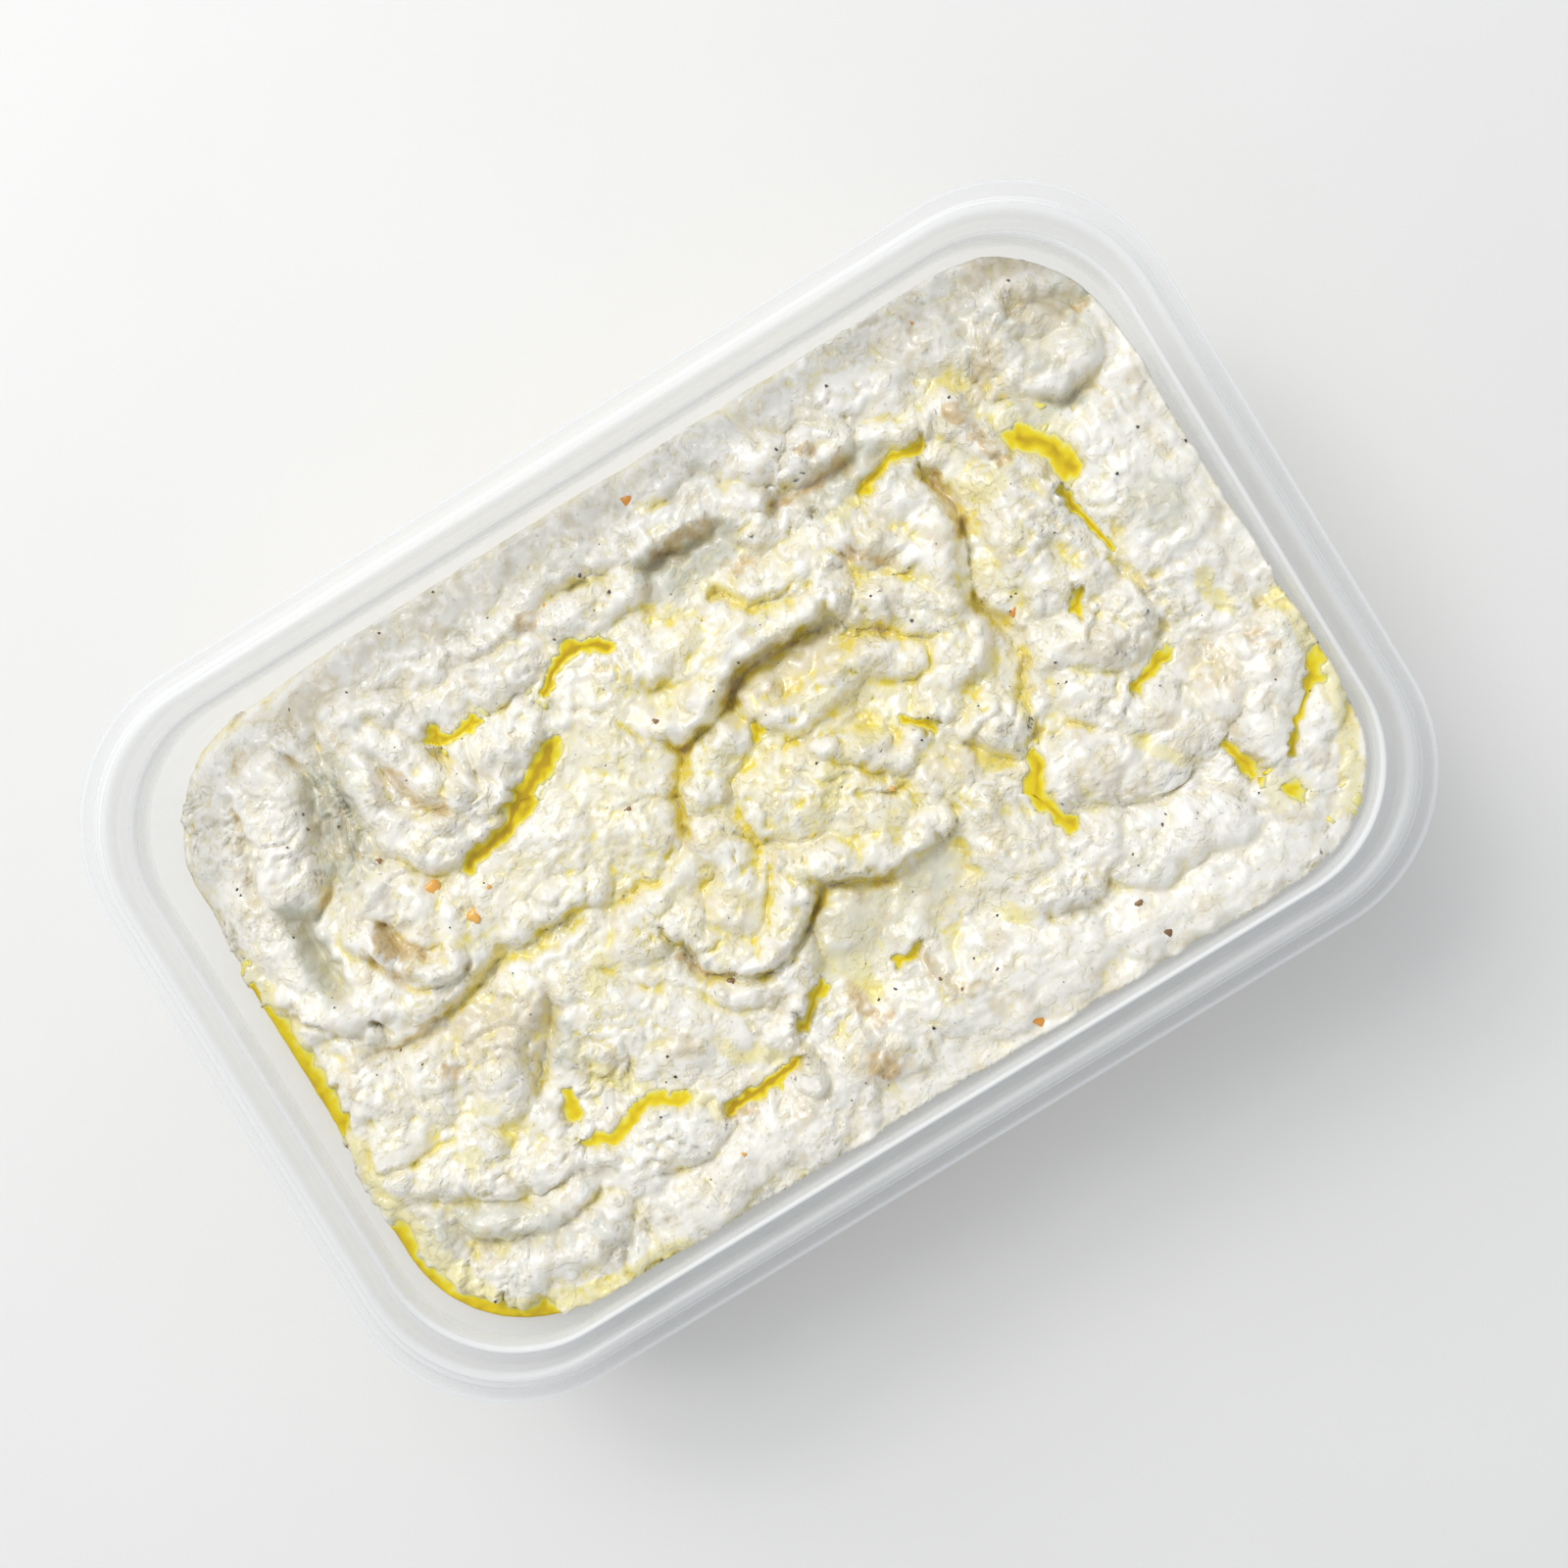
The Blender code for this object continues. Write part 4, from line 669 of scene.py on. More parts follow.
def stamped(x, y, count, sizes, rises, seed):
    """The highest of many flattened domes, rise (1 - r^2)^0.7, and the tone from -1 to 1 of each."""
    draw = np.random.default_rng(seed)
    height, tone = np.zeros_like(x), np.zeros_like(x)
    for _ in range(count):
        centre = draw.uniform((-79, -51), (80, 51)) * MM
        long, thin = draw.uniform(*sizes) * MM, draw.uniform(0.45, 0.9)
        turn, rise = draw.uniform(0, math.pi), draw.uniform(*rises)
        near = np.flatnonzero((np.abs(x - centre[0]) < long) & (np.abs(y - centre[1]) < long))
        dx, dy = x[near] - centre[0], y[near] - centre[1]
        along, across = dx * math.cos(turn) + dy * math.sin(turn), dy * math.cos(turn) - dx * math.sin(turn)
        dome = np.clip(1 - (along / long) ** 2 - (across / (thin * long)) ** 2, 0, None) ** 0.7
        tint = draw.uniform(-1, 1)
        tone[near] = np.where(rise * dome > height[near], tint * dome, tone[near])
        height[near] = np.maximum(height[near], rise * dome)
    return height, tone


def shingles(x, y, cell, lips, seed):
    """Sheets that overlap: along the contours of soft noise, a slow rise and then a sudden drop."""
    phase = lips * fractal(x, y, cell, 3, seed, 0.45)
    part = phase - np.floor(phase)
    return part * (1 - step(0.88, 1.0, part))


def fine_relief(x, y, wx, wy):
    """Overlapping sheets at two sizes where noise lets them, with soft lumps, creases and grain between."""
    wander_x = wx + 0.8 * MM * noise(x, y, 2.6 * MM, 61)
    wander_y = wy + 0.8 * MM * noise(x, y, 2.6 * MM, 62)
    sheets = step(-0.3, 0.4, noise(x, y, 12 * MM, 63))
    flakes = step(-0.2, 0.5, noise(x, y, 8 * MM, 64))
    relief = 1.2 * MM * sheets * (shingles(wander_x, wander_y, 14 * MM, 2.0, 65) - 0.4)
    relief += 0.7 * MM * flakes * (shingles(wander_x, wander_y, 6 * MM, 2.2, 66) - 0.4)
    relief += 0.36 * MM * (1 - 0.7 * flakes) * (shingles(wander_x, wander_y, 3.4 * MM, 1.6, 68) - 0.4)
    relief += 0.5 * MM * noise(wander_x, wander_y, 6.5 * MM, 71)
    relief += 0.2 * MM * noise(wander_x, wander_y, 2.6 * MM, 72)
    lumpy = step(-0.35, 0.35, noise(x, y, 10 * MM, 67))
    relief += 0.42 * MM * lumpy * (pebbles(wander_x, wander_y, 3.7 * MM, 75) - 0.5)
    relief += 0.16 * MM * (1 - 0.6 * lumpy) * (pebbles(wander_x, wander_y, 1.9 * MM, 76) - 0.5)
    relief += 0.05 * MM * noise(wx, wy, 1.2 * MM, 74)
    return relief * (0.45 + 0.75 * step(-0.4, 0.5, noise(x, y, 15 * MM, 69)))


def fold(x, y):
    """The thin ridges and slits: rise (1 - r^2)^1.5 across each line, swelling a little along it."""
    height = np.zeros_like(x)
    for number, (half_width, rise, *points) in enumerate(FOLDS):
        line = smooth_line(points)
        reach = 1.6 * half_width * MM
        near = beside(x, y, line, reach)
        distance, _, way = from_line(x[near], y[near], line)
        share = np.clip(1 - (distance / reach) ** 2, 0, None) ** 1.5
        change = rise * MM * share * (1 + 0.35 * noise(way, way, 4 * MM, 800 + number))
        height[near] += np.where(np.abs(change) > np.abs(height[near]), change - height[near], 0)
    return height


# %% The whole height
POOL_WIDTH = 0.78
TO_WALL = (1.4 * MM, 3.2 * MM)
ALONG_WALL = 4.4 * MM
STRIP = 3.9 * MM
STRIP_END = 5 * MM


def from_pool(x, y, line, half_width):
    """The distance from a pool's line, 1 at its shore, and the way along. Oil by the wall is a strip."""
    distance, _, way = from_line(x, y, line)
    away = from_wall(x, y)
    if from_wall(line[:, 0], line[:, 1]).mean() < ALONG_WALL:
        length = np.linalg.norm(np.diff(line, axis=0), axis=1).sum()
        end = 1 - step(0, STRIP_END, np.minimum(way, length - way))
        shallow = 0.6 * end + 0.16 * (1 + noise(way, way, 5 * MM, 603))
        return away / STRIP + shallow + np.maximum(distance - ALONG_WALL, 0) / half_width, way
    return distance / half_width * (1 - 0.62 * (1 - step(*TO_WALL, away))), way


def carve(height, x, y, line, half_width, depth, level):
    """A trough whose shore is at the level: level + depth (r^2 - 1), with a bank just outside it."""
    near = beside(x, y, line, 4 * half_width)
    reach, way = from_pool(x[near], y[near], line, half_width)
    reach = reach / (POOL_WIDTH * (1 + 0.45 * noise(way, way, 3.4 * MM, 601)))
    trough = level + depth * (reach**2 - 1) + 0.45 * MM * noise(x[near], y[near], 1.7 * MM, 602)
    far = np.clip(BANK_END - reach, 0, 1)
    shore = (level + BANK) * far + height[near] * (1 - far)
    banked = np.where(reach > 1, smooth_max(height[near], shore, 0.3 * MM), height[near])
    height[near] = smooth_min(banked, trough, 0.5 * MM)


def sculpt(x, y):
    """The dip's height everywhere, with the fields that its colours need."""
    wx, wy = warped(x, y)
    height, shade = rolled(x, y)
    height = filled(x, y, height)
    calm = calmness(x, y)
    for spacing, rise, seed in ((6.4 * MM, 0.4 * MM, 11), (3.1 * MM, 0.12 * MM, 23)):
        height = height + rise * (pebbles(wx, wy, spacing, seed) - 0.5)
    ragged_x = wx + 0.8 * MM * noise(x, y, 3.0 * MM, 83) + 0.55 * MM * noise(x, y, 1.4 * MM, 81)
    ragged_y = wy + 0.8 * MM * noise(x, y, 3.0 * MM, 84) + 0.55 * MM * noise(x, y, 1.4 * MM, 82)
    for half_width, depth, *points in HOLLOWS:
        line = smooth_line(points)
        reach = HOLLOW_REACH * half_width * MM
        near = beside(ragged_x, ragged_y, line, reach)
        distance = from_line(ragged_x[near], ragged_y[near], line)[0]
        share = np.clip(1 - (distance / reach) ** 2, 0, None)
        height[near] -= HOLLOW_DEPTH * depth * MM * share**HOLLOW_SHAPE
    neat_x, neat_y = wx + 0.5 * MM * noise(x, y, 2.4 * MM, 85), wy + 0.5 * MM * noise(x, y, 2.4 * MM, 86)
    chunks, tone = stamped(neat_x, neat_y, 900, (0.6, 2.6), (0.08, 0.4), 44)
    pits = stamped(ragged_x, ragged_y, 420, (0.35, 1.0), (0.3, 0.8), 45)[0]
    height = height + (1 - calm) * (fine_relief(x, y, wx, wy) + (chunks - pits) * MM)
    folded = fold(neat_x, neat_y)
    height = height + folded
    for _, line, half_width, depth, level in pool_places:
        carve(height, ragged_x, ragged_y, line, half_width, depth, level)
    return height, shade, tone, pits, folded, calm, ragged_x, ragged_y


# %% [markdown]
# ## A mesh from arrays
#
# Every new piece is a grid of points, so one function can turn any grid into a mesh. It joins the grid's
# neighbours with four-sided faces, round a seam where the grid closes on itself, and it puts the numbers
# in with foreach_set, which is far faster than adding vertices one at a time.

# %% Mesh helpers
def grid_faces(rows, columns, closed=False, start=0):
    """Quads between the points of a grid whose rows follow each other: a, b, b + row, a + row."""
    index = np.arange(rows * columns).reshape(rows, columns) + start
    right = np.roll(index, -1, axis=1)
    quads = np.stack([index[:-1], right[:-1], right[1:], index[1:]], axis=-1)
    if not closed:
        quads = quads[:, :-1]
    return quads.reshape(-1, 4)


def fan_faces(ring, centre):
    """Triangles from a ring of points to its centre."""
    return np.stack([ring, np.roll(ring, -1), np.full(len(ring), centre)], axis=-1)


def make_mesh(name, points, quads, triangles=None, smooth=True, material=None):
    """A mesh object from arrays of points and faces, filled with foreach_set."""
    triangles = np.zeros((0, 3), int) if triangles is None else triangles
    mesh = bpy.data.meshes.new(name)
    mesh.vertices.add(len(points))
    mesh.vertices.foreach_set("co", np.asarray(points, np.float32).ravel())
    loops = np.concatenate([quads.ravel(), triangles.ravel()])
    sizes = np.concatenate([np.full(len(quads), 4), np.full(len(triangles), 3)])
    mesh.loops.add(len(loops))
    mesh.loops.foreach_set("vertex_index", loops.astype(np.int32))
    mesh.polygons.add(len(sizes))
    mesh.polygons.foreach_set("loop_start", (np.cumsum(sizes) - sizes).astype(np.int32))
    mesh.polygons.foreach_set("loop_total", sizes.astype(np.int32))
    mesh.update(calc_edges=True)
    mesh.validate()
    if smooth:
        mesh.shade_smooth()
    piece = bpy.data.objects.new(name, mesh)
    bpy.context.scene.collection.objects.link(piece)
    if material:
        mesh.materials.append(material)
    return piece


def add_field(piece, name, values):
    """A number at each point of a piece, for its material to read."""
    field = piece.data.attributes.new(name, "FLOAT", "POINT")
    field.data.foreach_set("value", np.asarray(values, np.float32))


def signed_volume(points, quads, triangles):
    """The volume inside a mesh: a sixth of a . (b x c) over its triangles. Negative if it faces inwards."""
    corners = np.concatenate([triangles, quads[:, [0, 1, 2]], quads[:, [0, 2, 3]]])
    a, b, c = (points[corners[:, k]] for k in range(3))
    return float(np.einsum("ij,ij->i", a, np.cross(b, c)).sum() / 6)


def blur(field, radius):
    """A Gaussian blur of a grid, with its edge values carried outwards. The radius is in grid steps."""
    reach = math.ceil(2.5 * radius)
    weights = np.exp(-0.5 * (np.arange(-reach, reach + 1) / radius) ** 2)
    weights /= weights.sum()
    for axis in (0, 1):
        padded = np.pad(field, [(reach, reach) if k == axis else (0, 0) for k in (0, 1)], mode="edge")
        size = field.shape[axis]
        starts = range(2 * reach + 1)
        slices = [padded[k : k + size] if axis == 0 else padded[:, k : k + size] for k in starts]
        field = sum(weight * part for weight, part in zip(weights, slices))
    return field


# %% [markdown]
# ## The dip
#
# A square grid is stretched onto the tub's rounded rectangle, so that its edge follows the wall. It is
# raised to the sculpted height. Then every point moves a little downhill as well: tops widen and creases
# close, which is what makes a thick dip look soft and heavy. Its edge reaches just into the wall, so
# that no gap of air shows through the plastic, and rings of points take its side down to the tub's floor.

# %% Build the dip
GRID_STEP = 0.43 * MM
INTO_WALL = 0.25 * MM
PUFF = 0.5
EDGE = 0.96


def to_outline(u, v, inset):
    """A square from -1 to 1 stretched onto the rounded rectangle at an inset, from the middle out."""
    radius = corner_radius(inset)
    half_x, half_y = LENGTH / 2 - inset, WIDTH / 2 - inset
    share = np.maximum(np.maximum(np.abs(u), np.abs(v)), 1e-9)
    edge_x, edge_y = u / share * half_x, v / share * half_y
    over_x = np.maximum(np.abs(edge_x) - (half_x - radius), 0)
    over_y = np.maximum(np.abs(edge_y) - (half_y - radius), 0)
    reach = np.maximum(np.hypot(over_x, over_y), 1e-9)
    pull = np.minimum(radius / reach, 1.0)
    edge_x = np.sign(edge_x) * (np.abs(edge_x) - over_x * (1 - pull))
    edge_y = np.sign(edge_y) * (np.abs(edge_y) - over_y * (1 - pull))
    return edge_x * share, edge_y * share


def dip_edge(height):
    """The inset of the dip's side at a height, a little way into the wall."""
    return wall_inner(height) - INTO_WALL


columns = round(2 * (LENGTH / 2 - dip_edge(GROUND)) / GRID_STEP)
rows = round(2 * (WIDTH / 2 - dip_edge(GROUND)) / GRID_STEP)
u, v = np.meshgrid(np.linspace(-1, 1, columns), np.linspace(-1, 1, rows))
plan_x, plan_y = to_outline(u, v, dip_edge(GROUND))
flat_x, flat_y = plan_x.ravel(), plan_y.ravel()
height, shade, tone, pits, folded, calm, ragged_x, ragged_y = sculpt(flat_x, flat_y)
height, shade, tone, pits, folded, calm = (
    field.reshape(u.shape) for field in (height, shade, tone, pits, folded, calm)
)
edge_share = np.maximum(np.abs(u), np.abs(v))
inner = 1 - step(EDGE, 1.0, edge_share)
sides = {"west": height[:, 3], "east": height[:, -4], "south": height[3], "north": height[-4]}
print("at the wall (mm):", {side: round(float(line.mean()) / MM, 1) for side, line in sides.items()})
lowest, highest = round(height.min() / MM, 1), round(height.max() / MM, 1)
print("dip grid", rows, "x", columns, "from", lowest, "to", highest, "mm high")

# %% Push the slopes downhill
smoothed = blur(height, 2.4)
slope_y = np.gradient(smoothed, axis=0) / np.maximum(np.abs(np.gradient(plan_y, axis=0)), 1e-6)
slope_x = np.gradient(smoothed, axis=1) / np.maximum(np.abs(np.gradient(plan_x, axis=1)), 1e-6)
steep = np.hypot(slope_x, slope_y)
push = PUFF * MM * steep / (1 + 0.35 * steep) * inner
dip_x = plan_x - push * slope_x / np.maximum(steep, 1e-6)
dip_y = plan_y - push * slope_y / np.maximum(steep, 1e-6)
# The wall leans out, so the edge of the surface moves out as it rises
lean = (height - GROUND) * math.tan(TAPER) * edge_share**12 / np.maximum(np.hypot(plan_x, plan_y), 1e-9)
dip_x, dip_y = dip_x * (1 + lean), dip_y * (1 + lean)
top = np.stack([dip_x, dip_y, height], axis=-1).reshape(-1, 3)
print("largest push", round(push.max() / MM, 2), "mm")

# %% Side and base of the dip
EDGE_DEPTH = 1.0 * MM
LOWEST_EDGE = 25.5 * MM
SIDE_HEIGHTS = (25, 21, 17, 12.5)
index = np.arange(rows * columns).reshape(rows, columns)
ring = np.concatenate([index[0, :-1], index[:-1, -1], index[-1, :0:-1], index[:0:-1, 0]])


def ring_at(points, inset, height):
    """The points of a ring moved onto the outline at an inset, each straight in from where it was."""
    radius = corner_radius(inset)
    half_x, half_y = LENGTH / 2 - inset, WIDTH / 2 - inset
    size_x, size_y = np.abs(points[:, 0]), np.abs(points[:, 1])
    over_x = np.maximum(size_x - (half_x - radius), 0)
    over_y = np.maximum(size_y - (half_y - radius), 0)
    in_corner = (over_x > 0) & (over_y > 0)
    reach = radius / np.maximum(np.hypot(over_x, over_y), 1e-9)
    x = np.where(in_corner, half_x - radius + over_x * reach, np.where(over_x > 0, half_x, size_x))
    y = np.where(in_corner, half_y - radius + over_y * reach, np.where(over_x > 0, size_y, half_y))
    x, y = np.copysign(x, points[:, 0]), np.copysign(y, points[:, 1])
    return np.stack([x, y, np.zeros(len(x)) + height], axis=-1)


def side_levels():
    """Insets and heights of the rings that take the dip's side down to the tub's floor."""
    start = FOOT_RADIUS * (1 - math.sin(TAPER))
    walls = [(dip_edge(z * MM), z * MM) for z in SIDE_HEIGHTS]
    foot = foot_arc(FOOT_RADIUS - WALL + INTO_WALL, dip_edge(start), start, 4)
    return walls + [(inset, max(z, WALL + FOOT_RECESS - INTO_WALL)) for inset, z in foot]


under_edge = np.maximum(top[ring, 2] - EDGE_DEPTH, LOWEST_EDGE)
layers = [top, ring_at(top[ring], dip_edge(under_edge), under_edge)]
for inset, z in side_levels():
    layers.append(ring_at(top[ring], inset, z))
centre = np.array([[0, 0, layers[-1][0, 2]]])
dip_points = np.concatenate(layers + [centre])
side_index = np.concatenate([ring, np.arange(len(top), len(dip_points) - 1)]).reshape(-1, len(ring))
following = np.roll(side_index, -1, axis=1)
side_quads = np.stack([side_index[1:], following[1:], following[:-1], side_index[:-1]], axis=-1)
side_quads = side_quads.reshape(-1, 4)
dip_quads = np.concatenate([grid_faces(rows, columns), side_quads])
dip_base = fan_faces(side_index[-1][::-1], len(dip_points) - 1)
print("lowest edge", round(top[ring, 2].min() / MM, 1), "mm")
print("dip volume", round(signed_volume(dip_points, dip_quads, dip_base) * 1e6), "ml,",
      2 * len(dip_quads) + len(dip_base), "triangles")

# %% [markdown]
# ## Where the colour changes
#
# The dip is cream, but most of what the eye reads as texture is colour. Oil stains the low places yellow,
# above all in the middle. Flesh that was not crushed stays grey-green or beige, and a few scorched
# shreds are brown. Some of the grey and the brown is painted shade: grey in a few valleys and shadowed
# corners, brown in the deepest places, creases and slits. Crests are painted lighter, as a painted
# highlight. These are numbers at each point of the dip, so that the colours follow its form.

# %% Stains, and grey and brown painted shade: kind, half width, strength, line (mm)
STAINS_AND_SHADE = (
    ("grey", 3.8, 0.75, (-56.4, 23), (-52.4, 34)),
    ("grey", 0.8, 1.0, (-57.4, 23), (-54.8, 34.5)),
    ("grey", 0.8, 1.0, (-55.5, 22.4), (-53, 34.6)),
    ("grey", 0.8, 1.0, (-53.6, 22), (-51.3, 33)),
    ("beige", 0.8, 1.0, (8.2, -31), (8.5, -36), (10.5, -39), (13, -39.5)),
    ("beige", 1.8, 0.8, (-3, -33), (-1.4, -36)),
    ("beige", 2.2, 0.7, (-6.6, -41.4), (-3, -42)),
    ("oil", 1.6, 0.9, (-2.6, -27), (-0.6, -33)),
    # Painted shade in the valley beside the bean-shaped lump
    ("grey", 2.3, 0.8, (-66.4, 20), (-67.4, 8)),
    ("grey", 3.2, 0.8, (4.6, 34.4), (14, 34)),
    ("grey", 2.6, 0.75, (30, 31.6), (38, 32.4)),
    ("grey", 3.6, 0.5, (-2, -24), (17, -23.4)),
    # Painted shadows among the lumps of the north-east corner
    ("grey", 1.6, 0.7, (59.4, 27), (63.4, 26.4)),
    ("grey", 1.4, 0.7, (65.6, 31.6), (67.6, 30.8)),
    ("grey", 1.5, 0.8, (72, 38), (76, 36.4)),
    ("grey", 1.2, 0.8, (64, 25.6), (69, 24.6)),
    # Painted shade under the south-west fold edge and beside the west lump
    ("grey", 2.6, 0.6, (-72, -30), (-58, -37.6)),
    ("grey", 2.4, 0.5, (-43.4, -13), (-42.6, -18)),
    ("grey", 3.2, 0.6, (69.8, 7), (70.4, 5)),
    # Grey and beige over the north-east corner: painted shade, and beige flesh
    ("grey", 3.0, 0.4, (60, 41), (66, 36.4), (73, 34)),
    ("grey", 1.8, 0.45, (74.4, 45.4), (77.6, 40)),
    ("beige", 2.2, 0.8, (66, 47.4), (72, 46)),
    ("beige", 1.8, 0.8, (57, 33), (61, 37)),
    ("beige", 2.2, 0.7, (68, 40.6), (71.6, 37)),
    ("beige", 4.4, 0.7, (-52, -7.6), (-46.4, -10.6)),
    ("beige", 3.0, 0.6, (4, 12.6), (23, 12.6)),
    ("beige", 1.5, 0.9, (10.4, 11.5), (11.6, 11.4)),
    ("beige", 2.6, 0.8, (64.6, -16.4), (65, -19)),
    ("beige", 1.8, 0.7, (-28.6, -24.6), (-27.4, -25.4)),
    ("beige", 2.0, 0.6, (51.6, -6.4), (52.8, -7)),
    ("beige", 2.2, 0.6, (-45.4, 46), (-52, 44.6)),
    ("beige", 2.0, 0.55, (24, -10), (29, -12)),
    ("beige", 2.4, 0.5, (31.4, 22), (34, 24.4)),
    ("beige", 2.2, 0.45, (-14, -15), (-12, -12.4)),
    ("beige", 2.2, 0.45, (41, -22), (44, -22.6)),
    ("brown", 1.0, 0.8, (-57.2, 12), (-57, 8.6), (-54, 6)),
    ("brown", 0.8, 0.6, (-60.2, 10), (-58.4, 5.6), (-56, 4.4)),
    ("brown", 1.3, 0.6, (-43.4, 30), (-42, 25.4), (-39.6, 22)),
    ("brown", 1.1, 0.6, (-59.4, -10.6), (-58.6, -11.4)),
    ("brown", 0.9, 0.6, (14, 29), (16.6, 29.2)),
    ("brown", 0.8, 0.7, (30.4, 38.4), (31.8, 38.6)),
    ("brown", 0.8, 0.75, (52.6, 28.4), (54.4, 22)),
    ("brown", 0.8, 0.7, (51.6, 32.4), (52.6, 30.6)),
    ("brown", 0.9, 0.5, (9.4, 11.4), (13.6, 10.6)),
    # Brown along these creases, the slit and the shadow line below the west roll is painted shadow
    ("brown", 0.8, 0.75, (3, 14.2), (9, 16.4), (16, 15.8)),
    ("brown", 0.7, 0.75, (4.8, 37.2), (9, 38), (14, 37.2)),
    ("brown", 0.7, 0.75, (23, 34.4), (29, 33.4), (35, 34.8)),
    ("brown", 0.8, 0.8, (45.2, 25.4), (45.2, 21.6), (43.4, 17)),
    ("brown", 0.8, 0.7, (28.8, 23), (31.2, 21), (34, 18)),
    ("brown", 0.7, 0.7, (-21.8, -14), (-20, -17.4), (-16, -20)),
    ("brown", 0.6, 0.6, (-67.6, -2.6), (-63, -4), (-57, -2.8)),
    ("brown", 0.9, 0.7, (-27.2, -37.8), (-24.6, -38.2)),
    ("brown", 1.7, 0.8, (-5.4, -42), (-4.4, -42.2)),
    ("brown", 0.9, 0.6, (-3.2, -30.6), (-3, -34.6), (-0.8, -37)),
    ("brown", 1.2, 0.6, (-16.4, 38.6), (-14.4, 38.4)),
    ("brown", 0.8, 0.5, (-71, 30), (-70, 28.4)),
    ("brown", 0.7, 0.5, (-64.4, 42), (-60.6, 43.4)),
    ("brown", 1.2, 0.5, (71.4, -16.6), (73, -19)),
    ("oil", 1.4, 0.8, (-62.6, -23), (-62.4, -23.2)),
    ("oil", 1.3, 0.8, (-34.6, -11.4), (-32.4, -8.6)),
    ("oil", 1.2, 0.7, (-57.2, -18), (-56.6, -18.2)),
    ("oil", 1.2, 0.8, (-42, -18), (-40, -22)),
    ("oil", 1.1, 0.8, (-39, -24), (-36, -28.4), (-30, -33), (-29, -36)),
    ("oil", 1.1, 0.8, (-57, -24), (-55, -21.6), (-53.6, -23.4)),
    ("oil", 1.1, 0.8, (-23, -28.6), (-21.6, -31.4), (-17.6, -33)),
    ("oil", 1.2, 0.8, (11, -2.6), (8.6, -6)),
    ("oil", 1.1, 0.8, (16.6, 0.2), (18.6, -1.6)),
    ("oil", 1.3, 0.8, (40.4, -5.6), (38.6, -9.4)),
    ("oil", 1.4, 0.8, (30.4, -12.4), (32.6, -14.6)),
    ("oil", 1.1, 0.8, (50, -21.6), (51.6, -24), (54, -27)),
    ("oil", 1.2, 0.8, (70.6, -6), (69.6, -8), (71, -12)),
    ("oil", 1.2, 0.7, (22, -33.6), (24, -35)),
    ("oil", 1.4, 0.7, (-4.4, -24), (-0.8, -29)),
    ("oil", 1.0, 0.8, (9.4, 28), (11.6, 27.4), (12.6, 23), (18, 20.6)),
    ("oil", 1.1, 0.8, (48.4, 21.6), (50.6, 19.4), (54.4, 22)),
    ("oil", 1.2, 0.8, (30, 27.8), (37, 29.6), (42, 31.6)),
    ("oil", 1.1, 0.7, (-49.6, -1), (-44, 0.2)),
    ("oil", 0.9, 0.7, (7.4, 43.8), (10, 42.6)),
    ("oil", 1.4, 0.8, (77.6, -15), (77.4, -30), (72.6, -42.6)),
    ("oil", 1.3, 0.9, (-76.6, 13), (-76.4, -16), (-76, -26), (-71, -41.4), (-60, -48.6), (-43, -49.4)),
    ("oil", 1.0, 0.6, (-7, 40.2), (-3.6, 38)),
    ("oil", 1.0, 0.7, (-66.6, -36.4), (-65.8, -36.6)),
)

# Where the dip holds most oil: centre, half sizes (mm), strength
OILY = (
    (6, 0, 40, 34, 0.85),
    (-38, -2, 30, 32, 0.45),
    (46, 14, 20, 26, 0.5),
    (-70, -20, 16, 34, 0.35),
)


def stain_and_shade_amount(x, y, kind):
    """How strongly a place is marked by one kind, stain and painted shade alike, by the strongest mark of
    that kind: 1 - r^2, with a ragged edge.
    """
    ragged_x = x + 0.8 * MM * noise(x, y, 2.2 * MM, 101)
    ragged_y = y + 0.8 * MM * noise(x, y, 2.2 * MM, 102)
    amount = np.zeros_like(x)
    for stain, half_width, strength, *points in STAINS_AND_SHADE:
        if stain != kind:
            continue
        line = smooth_line(points)
        reach = 1.5 * half_width * MM
        near = beside(ragged_x, ragged_y, line, reach)
        distance = from_line(ragged_x[near], ragged_y[near], line)[0]
        share = step(0, 0.7, 1 - (distance / reach) ** 2)
        amount[near] = np.maximum(amount[near], strength * share)
    return amount


# %% High and low places
# The height against its surroundings, near by, closer still and further off
rise = height - blur(height, 5)
fine_rise = height - blur(height, 1.8)
broad_rise = height - blur(height, 14)
low = step(-0.05 * MM, 0.75 * MM, -rise)
very_low = step(0.3 * MM, 1.7 * MM, -broad_rise)
mottle = fractal(flat_x, flat_y, 5 * MM, 4, 111).reshape(height.shape)
fine_mottle = fractal(flat_x, flat_y, 1.6 * MM, 2, 121).reshape(height.shape)
print("low places cover", round(100 * float((low > 0.5).mean())), "% of the dip")

# %% Where there is oil: the middle, and a film round each pool
oily = np.zeros_like(height)
for centre_x, centre_y, half_x, half_y, strength in OILY:
    share = ellipse(plan_x, plan_y, centre_x, centre_y, 1.5 * half_x, 1.5 * half_y)
    oily = np.maximum(oily, strength * share)
film = np.zeros(height.size)
for _, line, half_width, _, level in pool_places:
    near = beside(ragged_x, ragged_y, line, 3 * half_width)
    reach = from_pool(ragged_x[near], ragged_y[near], line, half_width)[0]
    above = (height.ravel()[near] - level) / MM
    wet = (1 - step(0.0, 0.7, above)) * (1 - step(1.1, 1.8, reach))
    film[near] = np.maximum(film[near], wet)
film = film.reshape(height.shape)
print("the film covers", round(100 * float((film > 0.5).mean()), 1), "% of the dip")

